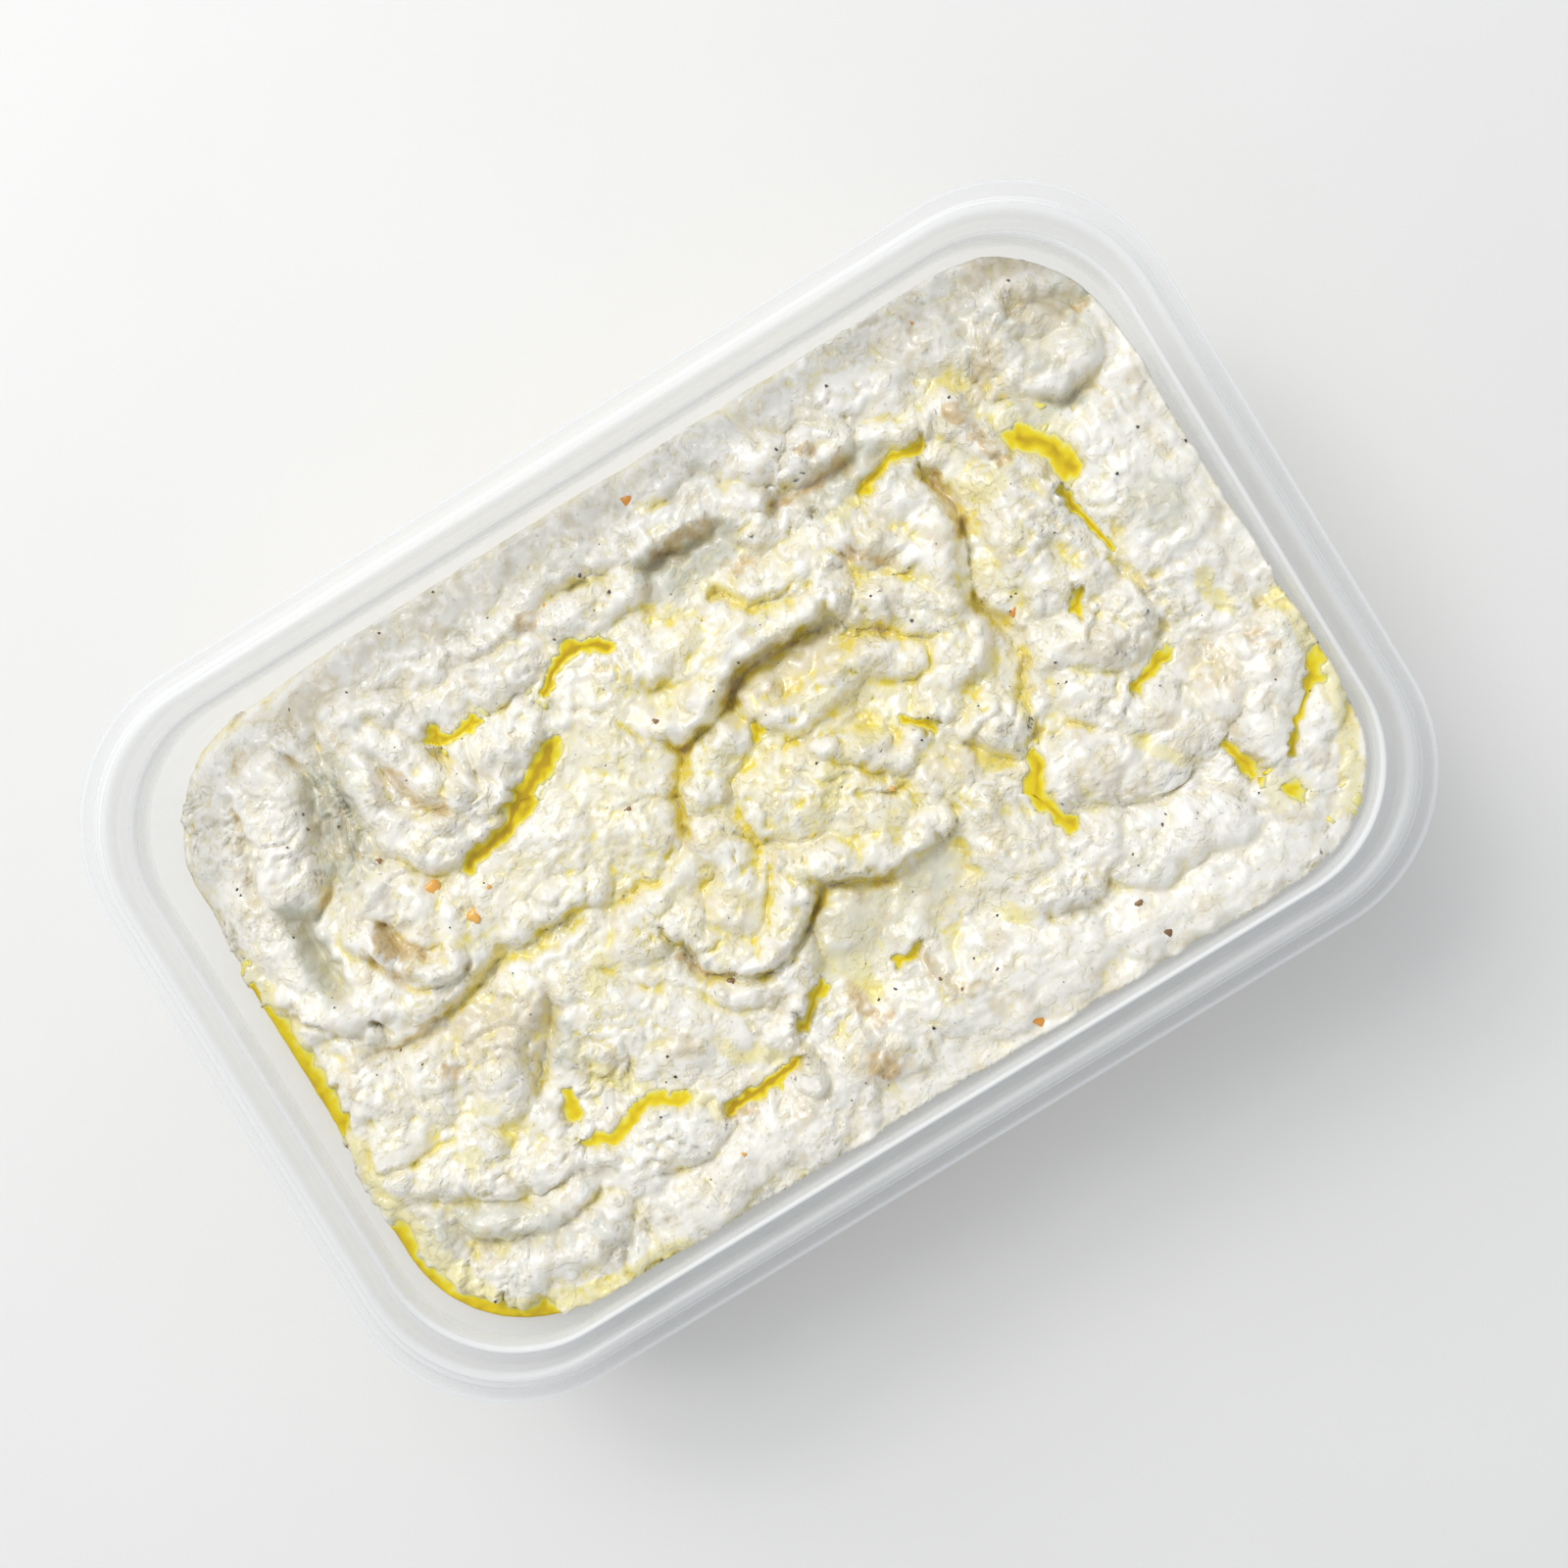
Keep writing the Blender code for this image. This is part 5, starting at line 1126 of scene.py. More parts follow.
# %% Yellow: low places, thin veins, a faint haze, pits, the film and the drawn stains
wander = np.clip(0.55 + 0.5 * mottle + 0.3 * fine_mottle, 0, 1)
veins = step(0.03 * MM, 0.22 * MM, -fine_rise) * np.clip(0.2 + 1.1 * mottle + 0.6 * fine_mottle, 0, 1)
oil_field = np.clip((0.22 + oily) * (0.45 * low + 0.5 * very_low) * wander, 0, 1)
oil_field += (0.18 + 0.82 * oily) * veins
oil_field += 0.30 * (0.25 + oily) * np.clip(0.35 + mottle + 0.5 * fine_mottle, 0, 1)
oil_field = np.maximum(oil_field, 1.5 * pits * (0.12 + 0.88 * oily))
oil_field = np.maximum(oil_field, 0.65 * film)
oil_field = np.maximum(oil_field, stain_and_shade_amount(flat_x, flat_y, "oil").reshape(height.shape) * (0.5 + 0.5 * low))
# Grey stains: grey-green flesh, and painted shade in a few valleys and corners
grey_flesh_and_shade = stain_and_shade_amount(flat_x, flat_y, "grey").reshape(height.shape)
oil_field = np.clip(oil_field * (1 - 0.75 * grey_flesh_and_shade * (1 - film)), 0, 1)
print("strongly yellow:", round(100 * float((oil_field > 0.6).mean())), "% of the dip")

# %% Flesh: beige lumps, grey-green patches and scorched brown, with brown painted shade in the deepest places and slits
beige_field = stain_and_shade_amount(flat_x, flat_y, "beige").reshape(height.shape) * np.clip(0.7 + 0.5 * fine_mottle, 0, 1)
flesh = np.clip(1.6 * stamped(flat_x, flat_y, 260, (1.2, 3.2), (0.4, 1.0), 46)[0].reshape(height.shape), 0, 1)
beige_field = np.maximum(beige_field, 0.55 * flesh * np.clip(0.5 + fine_mottle, 0, 1))
beige_field = np.maximum(beige_field, 0.3 * step(0.35, 0.9, mottle))
beige_field = np.maximum(beige_field, 0.5 * step(0.35, 0.8, tone))
grey_flesh_and_shade_field = grey_flesh_and_shade * np.clip(0.85 + 0.4 * fine_mottle, 0, 1)
grey_flesh_and_shade_field = np.maximum(grey_flesh_and_shade_field, 0.35 * step(0.3, 0.8, -mottle) * (1 - oily))
brown_and_crease_shade_field = stain_and_shade_amount(flat_x, flat_y, "brown").reshape(height.shape) * np.clip(0.75 + 0.5 * fine_mottle, 0, 1)
# Brown in the deepest places and in the slits is painted shade
brown_and_crease_shade_field = np.maximum(brown_and_crease_shade_field, 0.5 * step(0.6, 1.0, low * very_low) * step(0.2, 0.8, mottle))
slits = step(0.5 * MM, 1.4 * MM, -folded) * np.clip(0.6 + mottle, 0, 1)
brown_and_crease_shade_field = np.maximum(brown_and_crease_shade_field, 0.5 * slits * (1 - grey_flesh_and_shade_field))
print("strongly brown:", round(100 * float((brown_and_crease_shade_field > 0.6).mean()), 1), "% of the dip")

# %% Painted highlight on the crests and painted shade in the small cavities, and all of the fields together
# Painted highlight: raised places and folds are painted lighter, and pale chunks add their own tone
crest_highlight_field = step(0.1 * MM, 1.0 * MM, rise) * 0.7 + 0.3 * step(0.3 * MM, 2.2 * MM, broad_rise)
crest_highlight_field = crest_highlight_field + 0.5 * step(0.02 * MM, 0.14 * MM, fine_rise)
crest_highlight_field = crest_highlight_field + 0.6 * step(0.2 * MM, 0.8 * MM, folded) + 0.5 * step(0.3, 0.8, -tone)
# Painted shade: small cavities are painted darker and warmer
cavity_shade_field = step(0.015 * MM, 0.13 * MM, -fine_rise)
fields = {
    "middle": oily, "oil": oil_field, "beige": beige_field, "grey": grey_flesh_and_shade_field, "brown": brown_and_crease_shade_field,
    "crest": np.clip(crest_highlight_field, 0, 1), "shade": shade, "cavity": cavity_shade_field, "calm": calm,
}
for name, field in fields.items():
    print(f"{name:6} mean {field.mean():.2f}, highest {field.max():.2f}")

# %% [markdown]
# ## Materials written as sums
#
# A material is a small calculation at every point of a surface. To write it the way it is thought, one
# class holds a wire between two nodes and gives it the arithmetic operators: each sum or product adds a
# Math node. A second class holds the material and adds every other kind of node.

# %% Shader helpers
class Wire:
    """The output of a node. Arithmetic on it adds Math nodes to its material."""

    def __init__(self, paint, socket):
        self.paint, self.socket = paint, socket

    def math(self, operation, first, second):
        """One Math node."""
        return self.paint.node("ShaderNodeMath", {"operation": operation}, {0: first, 1: second})

    def __add__(self, other):
        return self.math("ADD", self, other)

    def __sub__(self, other):
        return self.math("SUBTRACT", self, other)

    def __rsub__(self, other):
        return self.math("SUBTRACT", other, self)

    def __mul__(self, other):
        return self.math("MULTIPLY", self, other)

    def __truediv__(self, other):
        return self.math("DIVIDE", self, other)

    def __pow__(self, other):
        return self.math("POWER", self, other)

    __radd__, __rmul__ = __add__, __mul__


class Paint:
    """A material, and the one way to add nodes to it."""

    def __init__(self, name):
        self.material = bpy.data.materials.new(name)
        self.material.use_nodes = True
        self.tree = self.material.node_tree
        self.tree.nodes.clear()

    def node(self, kind, settings=None, sockets=None, output=0):
        """Add a node: its settings first, then the values or links of its sockets."""
        node = self.tree.nodes.new(kind)
        for key, value in (settings or {}).items():
            if key == "stops":
                ramp = node.color_ramp
                while len(ramp.elements) < len(value):
                    ramp.elements.new(0.5)
                for element, (position, colour) in zip(ramp.elements, value):
                    element.position, element.color = position, (*colour, 1)
            else:
                setattr(node, key, value)
        for key, value in (sockets or {}).items():
            if isinstance(value, Wire):
                self.tree.links.new(value.socket, node.inputs[key])
            else:
                node.inputs[key].default_value = value
        return Wire(self, node.outputs[output]) if len(node.outputs) else None

    def field(self, name):
        """A number stored at the points of a piece."""
        return self.node("ShaderNodeAttribute", {"attribute_name": name}, output=2)

    def place(self):
        """The place of a point on its piece, in Object coordinates."""
        return self.node("ShaderNodeTexCoord", output=3)

    def noise(self, cell, detail=2.0, roughness=0.5, vector=None):
        """Noise with cells of a size in metres, from 0 to 1."""
        sockets = {"Vector": vector or self.place(), "Scale": 1 / cell}
        sockets.update({"Detail": detail, "Roughness": roughness})
        return self.node("ShaderNodeTexNoise", {"noise_dimensions": "3D"}, sockets)

    def wrinkles(self, cell, width):
        """1 on the winding lines where noise crosses its middle value, and 0 away from them."""
        level = self.noise(cell, 1) - 0.5
        return 1 - self.between(level * level, 0.0, width * width)

    def between(self, value, low, high):
        """0 below low and 1 above high, smooth between them."""
        sockets = {0: value, 1: low, 2: high, 3: 0.0, 4: 1.0}
        return self.node("ShaderNodeMapRange", {"interpolation_type": "SMOOTHSTEP"}, sockets)

    def mix(self, factor, first, second, way="MIX"):
        """A mix of two colours, each a wire or three numbers."""
        first = first if isinstance(first, Wire) else (*first, 1)
        second = second if isinstance(second, Wire) else (*second, 1)
        settings = {"data_type": "RGBA", "blend_type": way}
        return self.node("ShaderNodeMix", settings, {0: factor, 6: first, 7: second}, output=2)

    def bump(self, height, distance, strength=1.0, normal=None):
        """The surface as if it rose by a height from 0 to 1, times a distance in metres."""
        sockets = {"Height": height, "Distance": distance, "Strength": strength}
        if normal:
            sockets["Normal"] = normal
        return self.node("ShaderNodeBump", None, sockets)

    def finish(self, **sockets):
        """The Principled shader, wired to the output."""
        named = {key.replace("_", " "): value for key, value in sockets.items()}
        shader = self.node("ShaderNodeBsdfPrincipled", None, named)
        self.node("ShaderNodeOutputMaterial", None, {"Surface": shader})
        return self.material


print("helpers ready")

# %% [markdown]
# ## The look of the dip
#
# Crushed aubergine and sesame paste is a thick, moist cream. Light goes a little way into it, so its
# hollows look warm: subsurface scattering would do that, but it is slow, so the small cavities get a
# darker, warmer colour instead, which is painted shade. A thin coat stands for the film of oil that gives
# it small wet highlights. Colours are mixed from the fields: cream first, lighter on the crests as a
# painted highlight, then grey-green and beige flesh with grey painted shade in a few valleys, yellow oil
# in the low places, and brown, which is scorched flesh and also painted shade in the deepest places.

# %% Dip material
OUTER_CREAM = (0.92, 0.90, 0.845)
INNER_CREAM = (0.89, 0.84, 0.64)
CREST_HIGHLIGHT_CREAM = (0.94, 0.92, 0.86)
STRAW = (0.86, 0.79, 0.53)
WARM_CREAM = (0.90, 0.83, 0.66)
GREY_FLESH_AND_SHADE = (0.44, 0.45, 0.34)
FLESH_BEIGE = (0.66, 0.54, 0.33)
OIL_STRAW = (0.87, 0.78, 0.34)
OIL_STAIN = (0.84, 0.68, 0.07)
SEAM = (0.78, 0.68, 0.36)
CAVITY_SHADE = (0.76, 0.68, 0.45)
TAN_AND_CREASE_SHADE = (0.65, 0.48, 0.24)
SCORCHED_AND_CREASE_SHADOW = (0.30, 0.19, 0.075)
FLECK = (0.42, 0.32, 0.20)


def dip_material():
    """Cream that each field colours in turn, stains and painted highlight and shade alike, with a crumbly
    bump and a wet coat.
    """
    paint = Paint("dip")
    soft, fine, grain = paint.noise(3.2 * MM, 2), paint.noise(1.1 * MM, 2), paint.noise(0.42 * MM, 1)
    colour = paint.mix(paint.between(paint.field("middle"), 0.1, 0.8), OUTER_CREAM, INNER_CREAM)
    # Painted highlight: the crests are painted lighter
    colour = paint.mix(paint.between(paint.field("crest"), 0.1, 0.9) * 0.8, colour, CREST_HIGHLIGHT_CREAM)
    colour = paint.mix(paint.between(soft, 0.48, 0.68) * (0.16 + 0.54 * paint.field("middle")), colour, STRAW)
    colour = paint.mix(paint.field("shade") * 0.12 + 0.06, colour, WARM_CREAM)
    # Grey-green flesh, and painted shade in a few valleys and corners
    colour = paint.mix(paint.field("grey") * (0.5 + 0.7 * soft), colour, GREY_FLESH_AND_SHADE)
    colour = paint.mix(paint.field("beige") * (0.6 + 0.7 * fine), colour, FLESH_BEIGE)
    # Painted shade: darker, warmer small cavities
    colour = paint.mix(paint.field("cavity") * (0.1 + 0.4 * fine), colour, CAVITY_SHADE)
    oil = paint.field("oil") * (0.6 + 0.8 * fine)
    colour = paint.mix(paint.between(oil, 0.02, 0.6) * 0.8, colour, OIL_STRAW)
    colour = paint.mix(paint.between(oil, 0.45, 1.15), colour, OIL_STAIN)
    # Brown: scorched flesh, and painted shade in the deepest places, creases and slits
    brown = paint.field("brown") * (0.55 + 0.9 * fine)
    colour = paint.mix(paint.between(brown, 0.1, 0.7) * 0.9, colour, TAN_AND_CREASE_SHADE)
    colour = paint.mix(paint.between(brown, 0.6, 1.2), colour, SCORCHED_AND_CREASE_SHADOW)
    seam = paint.wrinkles(2.2 * MM, 0.07) * paint.between(soft, 0.42, 0.6)
    colour = paint.mix(seam * (0.2 + 0.35 * paint.field("middle")), colour, SEAM)
    fleck = paint.between(paint.noise(0.8 * MM, 1), 0.69, 0.74) * 0.35
    colour = paint.mix(fleck, colour, FLECK)
    crumbly = (0.25 + 0.75 * paint.between(soft, 0.42, 0.6)) * (1 - 0.8 * paint.field("calm"))
    normal = paint.bump((grain * 0.3 + fine) * crumbly - 0.2 * seam, 0.36 * MM, 0.9)
    rough = 0.38 - 0.18 * paint.field("oil") + 0.10 * grain
    return paint.finish(
        Base_Color=colour, Roughness=rough, IOR=1.42,
        Coat_Weight=0.7, Coat_Roughness=0.08, Normal=normal,
    )


dip = make_mesh("dip_cream", dip_points, dip_quads, dip_base, material=dip_material())
# The side shows through the plastic, so it has soft patches of its own, which fade out towards the base
low_x, low_y, low_z = dip_points[len(top):].T
patch = step(2 * MM, 9 * MM, low_z) * fractal(low_x + 1.3 * low_z, low_y + 1.3 * low_z, 8 * MM, 2, 151)
below = {name: np.full(len(patch), 0.15) for name in fields}
below["oil"] = 0.12 + 0.22 * step(0.3, 0.8, patch)
below["beige"] = 0.05 + 0.3 * step(0.2, 0.7, -patch)
# Painted shade in the cavity colour where the patches are strong
below["cavity"] = 0.5 * step(0.1, 0.2, np.abs(patch))
below["calm"] = np.full(len(patch), 0.6)
for name, field in fields.items():
    add_field(dip, name, np.concatenate([field.ravel(), below[name]]))
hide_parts("dip")
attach(dip, "root")
print("dip", [round(size / MM, 1) for size in dip.dimensions], "mm")

# %% [markdown]
# ## Pools of oil
#
# Oil is level, and its shore is wherever the dip rises through it. So each pool is cut from the dip's own
# grid: every square that dips below the pool's level becomes part of a lid at that level, with a floor
# just under the dip. The dip then draws the ragged shore by itself. The lid creeps up a little where it
# meets the dip, as a wetting liquid does. Its depth is stored at each point: shallow oil is pale straw,
# and deeper oil is gold and then amber. Real oil gets these colours from the light that it lets through,
# but in so thin a body a ramp of colours by depth is steadier, so the oil is nearly opaque.

# %% Oil material
OIL_BY_DEPTH = (
    (0.0, (0.89, 0.84, 0.44)), (0.12, (0.88, 0.79, 0.16)), (0.4, (0.86, 0.71, 0.02)),
    (0.7, (0.78, 0.58, 0.01)), (1.0, (0.55, 0.36, 0.008)),
)
RAMP_PER_MM = 0.36


def oil_material():
    """A glossy liquid, coloured by its depth and a little noise."""
    paint = Paint("olive oil")
    depth = paint.field("depth") + 1.3 * (paint.noise(1.8 * MM, 3) - 0.5)
    colour = paint.node("ShaderNodeValToRGB", {"stops": OIL_BY_DEPTH}, {"Fac": depth * RAMP_PER_MM})
    cover = paint.between(depth, -0.1, 0.35)
    ripple = paint.bump(paint.noise(2.2 * MM, 1), 0.08 * MM, 0.35)
    return paint.finish(
        Base_Color=colour, Roughness=0.06, IOR=1.47, Alpha=0.82 + 0.17 * cover, Normal=ripple,
    )


# %% Build the pools
OIL_BELOW = 0.3 * MM
MENISCUS = 0.16 * MM
oil_look = oil_material()
volume = 0.0
for name, line, half_width, _, level in pool_places:
    near = np.zeros(height.size, bool)
    close = beside(ragged_x, ragged_y, line, 3 * half_width)
    near[close] = from_pool(ragged_x[close], ragged_y[close], line, half_width)[0] < 1.5
    sunk = near & (height.ravel() < level) & (edge_share.ravel() < 1)
    sunk = sunk.reshape(height.shape)
    wet = sunk[:-1, :-1] | sunk[1:, :-1] | sunk[:-1, 1:] | sunk[1:, 1:]
    cells = np.stack([index[:-1, :-1], index[:-1, 1:], index[1:, 1:], index[1:, :-1]], axis=-1)[wet]
    used, local = np.unique(cells, return_inverse=True)
    cells = local.reshape(cells.shape)
    deep = (level - top[used, 2]) / MM
    lid = top[used].copy()
    lid[:, 2] = level + MENISCUS * step(-0.9, 0.0, -deep)
    floor = top[used].copy()
    floor[:, 2] = np.minimum(lid[:, 2], floor[:, 2]) - OIL_BELOW
    edges = np.stack([cells, np.roll(cells, -1, axis=1)], axis=-1).reshape(-1, 2)
    lone = set(map(tuple, edges.tolist()))
    rim = np.array([(a, b) for a, b in edges.tolist() if (b, a) not in lone])
    count = len(used)
    walls = np.stack([rim[:, 1], rim[:, 0], rim[:, 0] + count, rim[:, 1] + count], axis=-1)
    faces = np.concatenate([cells, cells[:, ::-1] + count, walls])
    points = np.concatenate([lid, floor])
    pool = make_mesh(name + "_liquid", points, faces, material=oil_look)
    add_field(pool, "depth", np.concatenate([deep, deep]))
    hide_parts(name)
    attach(pool, "root")
    volume += signed_volume(points, faces, np.zeros((0, 3), int)) * 1e6
print("oil", round(volume, 2), "ml in", len(pool_places), "pools")

# %% [markdown]
# ## The tub
#
# The tub is one thin sheet of milky plastic. Its section runs from the middle of the base, up the wall,
# out over the rim and back down the inside. The rim rises to a narrow land and drops to an outer flange.
# Corners of moulded plastic are always a little round, so the section's corners are cut twice by
# Chaikin's rule before it is carried round the outline. Thin plastic shows its steps as bright lines and
# grey bands, where it bends light towards the eye or away. These are painted: they are stored along the
# section, as numbers at its points, and the material turns them into whiter plastic, a painted
# highlight, and greyer plastic, a painted shade.

# %% Tub section
CENTRE_INSET = 50 * MM
# Painted highlight where the rim looks white, and painted shade where it looks grey because it bends the
# light away: from and to (mm in), strength
HIGHLIGHT_BANDS = ((-1.0, 0.5, 0.6), (2.4, 2.95, 1.0), (2.95, 5.0, 0.28), (6.45, 6.95, 1.0))
SHADE_BANDS = ((0.7, 2.2, 0.5), (5.1, 6.3, 1.0))


def rounded(profile, rounds=2):
    """Chaikin's rule: each corner is replaced by two points, a quarter of the way along its sides."""
    p = np.array(profile, float)
    for _ in range(rounds):
        near, far = 0.75 * p[:-1] + 0.25 * p[1:], 0.25 * p[:-1] + 0.75 * p[1:]
        p = np.concatenate([p[:1], np.stack([near, far], axis=1).reshape(-1, 2)[1:-1], p[-1:]])
    return p


def offset(profile, distance):
    """A profile moved sideways, square to the mean direction at each of its points."""
    along = np.gradient(profile, axis=0)
    along /= np.linalg.norm(along, axis=1, keepdims=True)
    return profile + distance * np.stack([along[:, 1], -along[:, 0]], axis=1)


def evened(profile, spacing):
    """The same profile with points added so that none are further apart than the spacing."""
    parts = []
    for start, stop in zip(profile, profile[1:]):
        steps = max(1, math.ceil(np.linalg.norm(stop - start) / spacing))
        parts.append(start + (stop - start) * (np.arange(steps) / steps)[:, None])
    return np.concatenate(parts + [profile[-1:]])


def tub_section():
    """(inset, height) along the section: the under side from the base to the rim, then the upper side."""
    rim = evened(rounded([(inset * MM, HEIGHT - drop * MM) for inset, drop in RIM_PROFILE]), 0.25 * MM)
    start = FOOT_RADIUS * (1 - math.sin(TAPER))
    foot = foot_arc(FOOT_RADIUS, wall_inset(start), start, 10)
    flat = foot[-1, 0]
    wall_heights = np.linspace(rim[-1, 1], start, 14)[1:-1]
    wall = np.stack([wall_inset(wall_heights), wall_heights], axis=1)
    foot_end = flat + FOOT_WIDTH
    recess = rounded([(foot_end, 0.0), (foot_end + FOOT_RECESS, FOOT_RECESS), (CENTRE_INSET, FOOT_RECESS)])
    under = np.concatenate([rim, wall, foot, recess])
    upper = offset(under, -WALL)
    upper[:, 0] = np.clip(upper[:, 0], 0, None)
    return np.concatenate([under[::-1], upper])


def bands(inset, height, table):
    """Bands with soft edges, each between two insets and with its own strength, near the rim only."""
    total = np.zeros_like(inset)
    for start, stop, share in table:
        band = step(start - 0.15, start + 0.1, inset / MM) * (1 - step(stop - 0.1, stop + 0.15, inset / MM))
        total = np.maximum(total, share * band)
    return total * step(30 * MM, 38 * MM, height)


section = tub_section()
smallest, largest = (section.min(axis=0) / MM).round(2), (section.max(axis=0) / MM).round(2)
print("tub section", len(section), "points, from", smallest, "to", largest)

# %% Carry the section round the outline
CORNER_STEPS, LONG_STEPS, SHORT_STEPS = 22, 26, 16


def outline_stations():
    """Stations anticlockwise round the outline: the corner signs, sliding along straights, and the normal."""
    stations = []
    corners = ((1, 1), (-1, 1), (-1, -1), (1, -1))
    for number, (sx, sy) in enumerate(corners):
        angles = math.radians(90) * (number + np.arange(CORNER_STEPS) / CORNER_STEPS)
        stations += [(sx, sy, math.cos(angle), math.sin(angle)) for angle in angles]
        next_x, next_y = corners[(number + 1) % 4]
        steps = LONG_STEPS if next_y == sy else SHORT_STEPS
        angle = math.radians(90) * (number + 1)
        for share in np.arange(steps) / steps:
            slid = (sx + (next_x - sx) * share, sy + (next_y - sy) * share)
            stations.append((*slid, math.cos(angle), math.sin(angle)))
    return np.array(stations).T


sign_x, sign_y, normal_x, normal_y = (row[:, None] for row in outline_stations())
inset, level = section[None, :, 0], section[None, :, 1]
radius = corner_radius(inset)
tub_x = sign_x * (LENGTH / 2 - inset - radius) + normal_x * radius
tub_y = sign_y * (WIDTH / 2 - inset - radius) + normal_y * radius
tub_z = np.broadcast_to(level, tub_x.shape)
tub_grid = np.stack([tub_x, tub_y, tub_z], axis=-1)
stations, around = tub_grid.shape[:2]
poles = np.array([[0, 0, section[0, 1]], [0, 0, section[-1, 1]]])
tub_points = np.concatenate([tub_grid.reshape(-1, 3), poles])
tub_index = np.arange(stations * around).reshape(stations, around)
ahead = np.roll(tub_index, -1, axis=0)
tub_quads = np.stack([tub_index[:, :-1], ahead[:, :-1], ahead[:, 1:], tub_index[:, 1:]], axis=-1)
tub_quads = tub_quads.reshape(-1, 4)
under_fan = fan_faces(tub_index[::-1, 0], stations * around)
upper_fan = fan_faces(tub_index[:, -1], stations * around + 1)
tub_fans = np.concatenate([under_fan, upper_fan])
print("tub plastic", round(signed_volume(tub_points, tub_quads, tub_fans) * 1e6, 1), "ml")

# %% Tub material
MILKY, CLOUDY = (0.80, 0.825, 0.845), (0.86, 0.88, 0.895)
# Painted shade grey and painted highlight white for the rim's bands
SHADE_GREY, HIGHLIGHT_WHITE = (0.43, 0.46, 0.51), (0.95, 0.965, 0.98)


def tub_material():
    """Clear plastic with a faint cloud in it, and the painted highlight and painted shade bands of its rim.
    """
    paint = Paint("milky plastic")
    cloud, ridge, groove = paint.noise(26 * MM, 1), paint.field("ridge"), paint.field("groove")
    colour = paint.mix(cloud, MILKY, CLOUDY)
    # Painted shade, then painted highlight, from the rim's bands
    colour = paint.mix(groove, colour, SHADE_GREY)
    colour = paint.mix(ridge, colour, HIGHLIGHT_WHITE)
    normal = paint.bump(paint.noise(1.6 * MM, 1), 0.02 * MM, 0.5)
    rough = 0.2 + 0.12 * paint.noise(5 * MM, 1)
    cover = 0.09 + 0.04 * cloud + 0.5 * ridge + 0.14 * groove
    return paint.finish(
        Base_Color=colour, Roughness=rough, IOR=1.49, Alpha=cover, Coat_Weight=0.3,
        Coat_Roughness=0.08, Normal=normal,
    )


tub = make_mesh("tub_shell", tub_points, tub_quads, tub_fans, material=tub_material())
tub.data.set_sharp_from_angle(angle=math.radians(50))
# Painted shade: the grey bands are strongest along the south side, where the tub's shadow lies
front = np.clip(-normal_y, 0, 1)
side_shares = {"ridge": np.ones_like(front), "groove": 0.3 + 0.7 * front}
for name, table in (("ridge", HIGHLIGHT_BANDS), ("groove", SHADE_BANDS)):
    band = side_shares[name] * bands(section[:, 0], section[:, 1], table)
    add_field(tub, name, np.concatenate([band.ravel(), [0, 0]]))
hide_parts("tub")
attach(tub, "root")
print("tub", [round(size / MM, 1) for size in tub.dimensions], "mm")

# %% [markdown]
# ## Flakes, seeds and specks
#
# A few flakes of dried pepper and browned skin lie on the dip, and tiny dark specks of scorched skin are
# everywhere. Each is a small rounded lump: a sphere of a few dozen faces, squashed, bent by its own
# random waves and pressed into the dip. All of one kind are one mesh.

# %% Where things lie
flat_top = top[(edge_share < 0.985).ravel()]


def surface_height(x, y):
    """The height of the dip at places in mm, from the nearest point of its grid."""
    return np.array([
        flat_top[np.argmin((flat_top[:, 0] - px * MM) ** 2 + (flat_top[:, 1] - py * MM) ** 2), 2]
        for px, py in zip(x, y)
    ])


def lumps(name, x, y, radius, flat, sink, material, seed, rings=5, spokes=8):
    """Squashed spheres with wavy outlines, pressed into the dip by a share of their size, as one mesh."""
    draw = np.random.default_rng(seed)
    count = len(x)
    z = surface_height(x, y)
    polar = np.linspace(0, math.pi, rings + 1)[1:-1]
    spin = np.arange(spokes) / spokes * 2 * math.pi
    ring_out, ring_up = np.sin(polar)[:, None], np.cos(polar)[:, None]
    shell = np.stack([ring_out * np.cos(spin), ring_out * np.sin(spin), ring_up + 0 * spin], axis=-1)
    shell = np.concatenate([shell.reshape(-1, 3), [[0, 0, 1], [0, 0, -1]]])
    side = draw.uniform(0.55, 1.0, (count, 1))
    turn = draw.uniform(0, 2 * math.pi, (count, 1))
    round_it = np.arctan2(shell[:, 1], shell[:, 0])[None]
    wave = 1 + 0.22 * np.sin(3 * round_it + draw.uniform(0, 6.3, (count, 1)))
    size = (np.asarray(radius, float) * MM).reshape(-1, 1)
    local_x, local_y = shell[None, :, 0] * wave * size, shell[None, :, 1] * wave * size * side
    local_z = shell[None, :, 2] * size * np.asarray(flat, float).reshape(-1, 1)
    tilt = draw.uniform(-0.35, 0.35, (count, 1))
    world_x = (np.asarray(x, float) * MM)[:, None] + local_x * np.cos(turn) - local_y * np.sin(turn)
    world_y = (np.asarray(y, float) * MM)[:, None] + local_x * np.sin(turn) + local_y * np.cos(turn)
    world_z = z[:, None] + local_z + tilt * local_x - (sink * size)
    points = np.stack([world_x, world_y, world_z], axis=-1)
    quads = grid_faces(rings - 1, spokes, closed=True)[:, ::-1]
    first, last = np.arange(spokes), np.arange(spokes) + (rings - 2) * spokes
    caps = np.concatenate([fan_faces(first, len(shell) - 2), fan_faces(last[::-1], len(shell) - 1)])
    start = (np.arange(count) * len(shell))[:, None, None]
    piece = make_mesh(name, points.reshape(-1, 3), (quads[None] + start).reshape(-1, 4),
                      (caps[None] + start).reshape(-1, 3), material=material)
    shades = np.repeat(draw.uniform(0, 1, count), len(shell))
    add_field(piece, "shade", shades)
    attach(piece, "root")
    print(name, count, "pieces,", count * (2 * len(quads) + len(caps)), "triangles")
    return piece


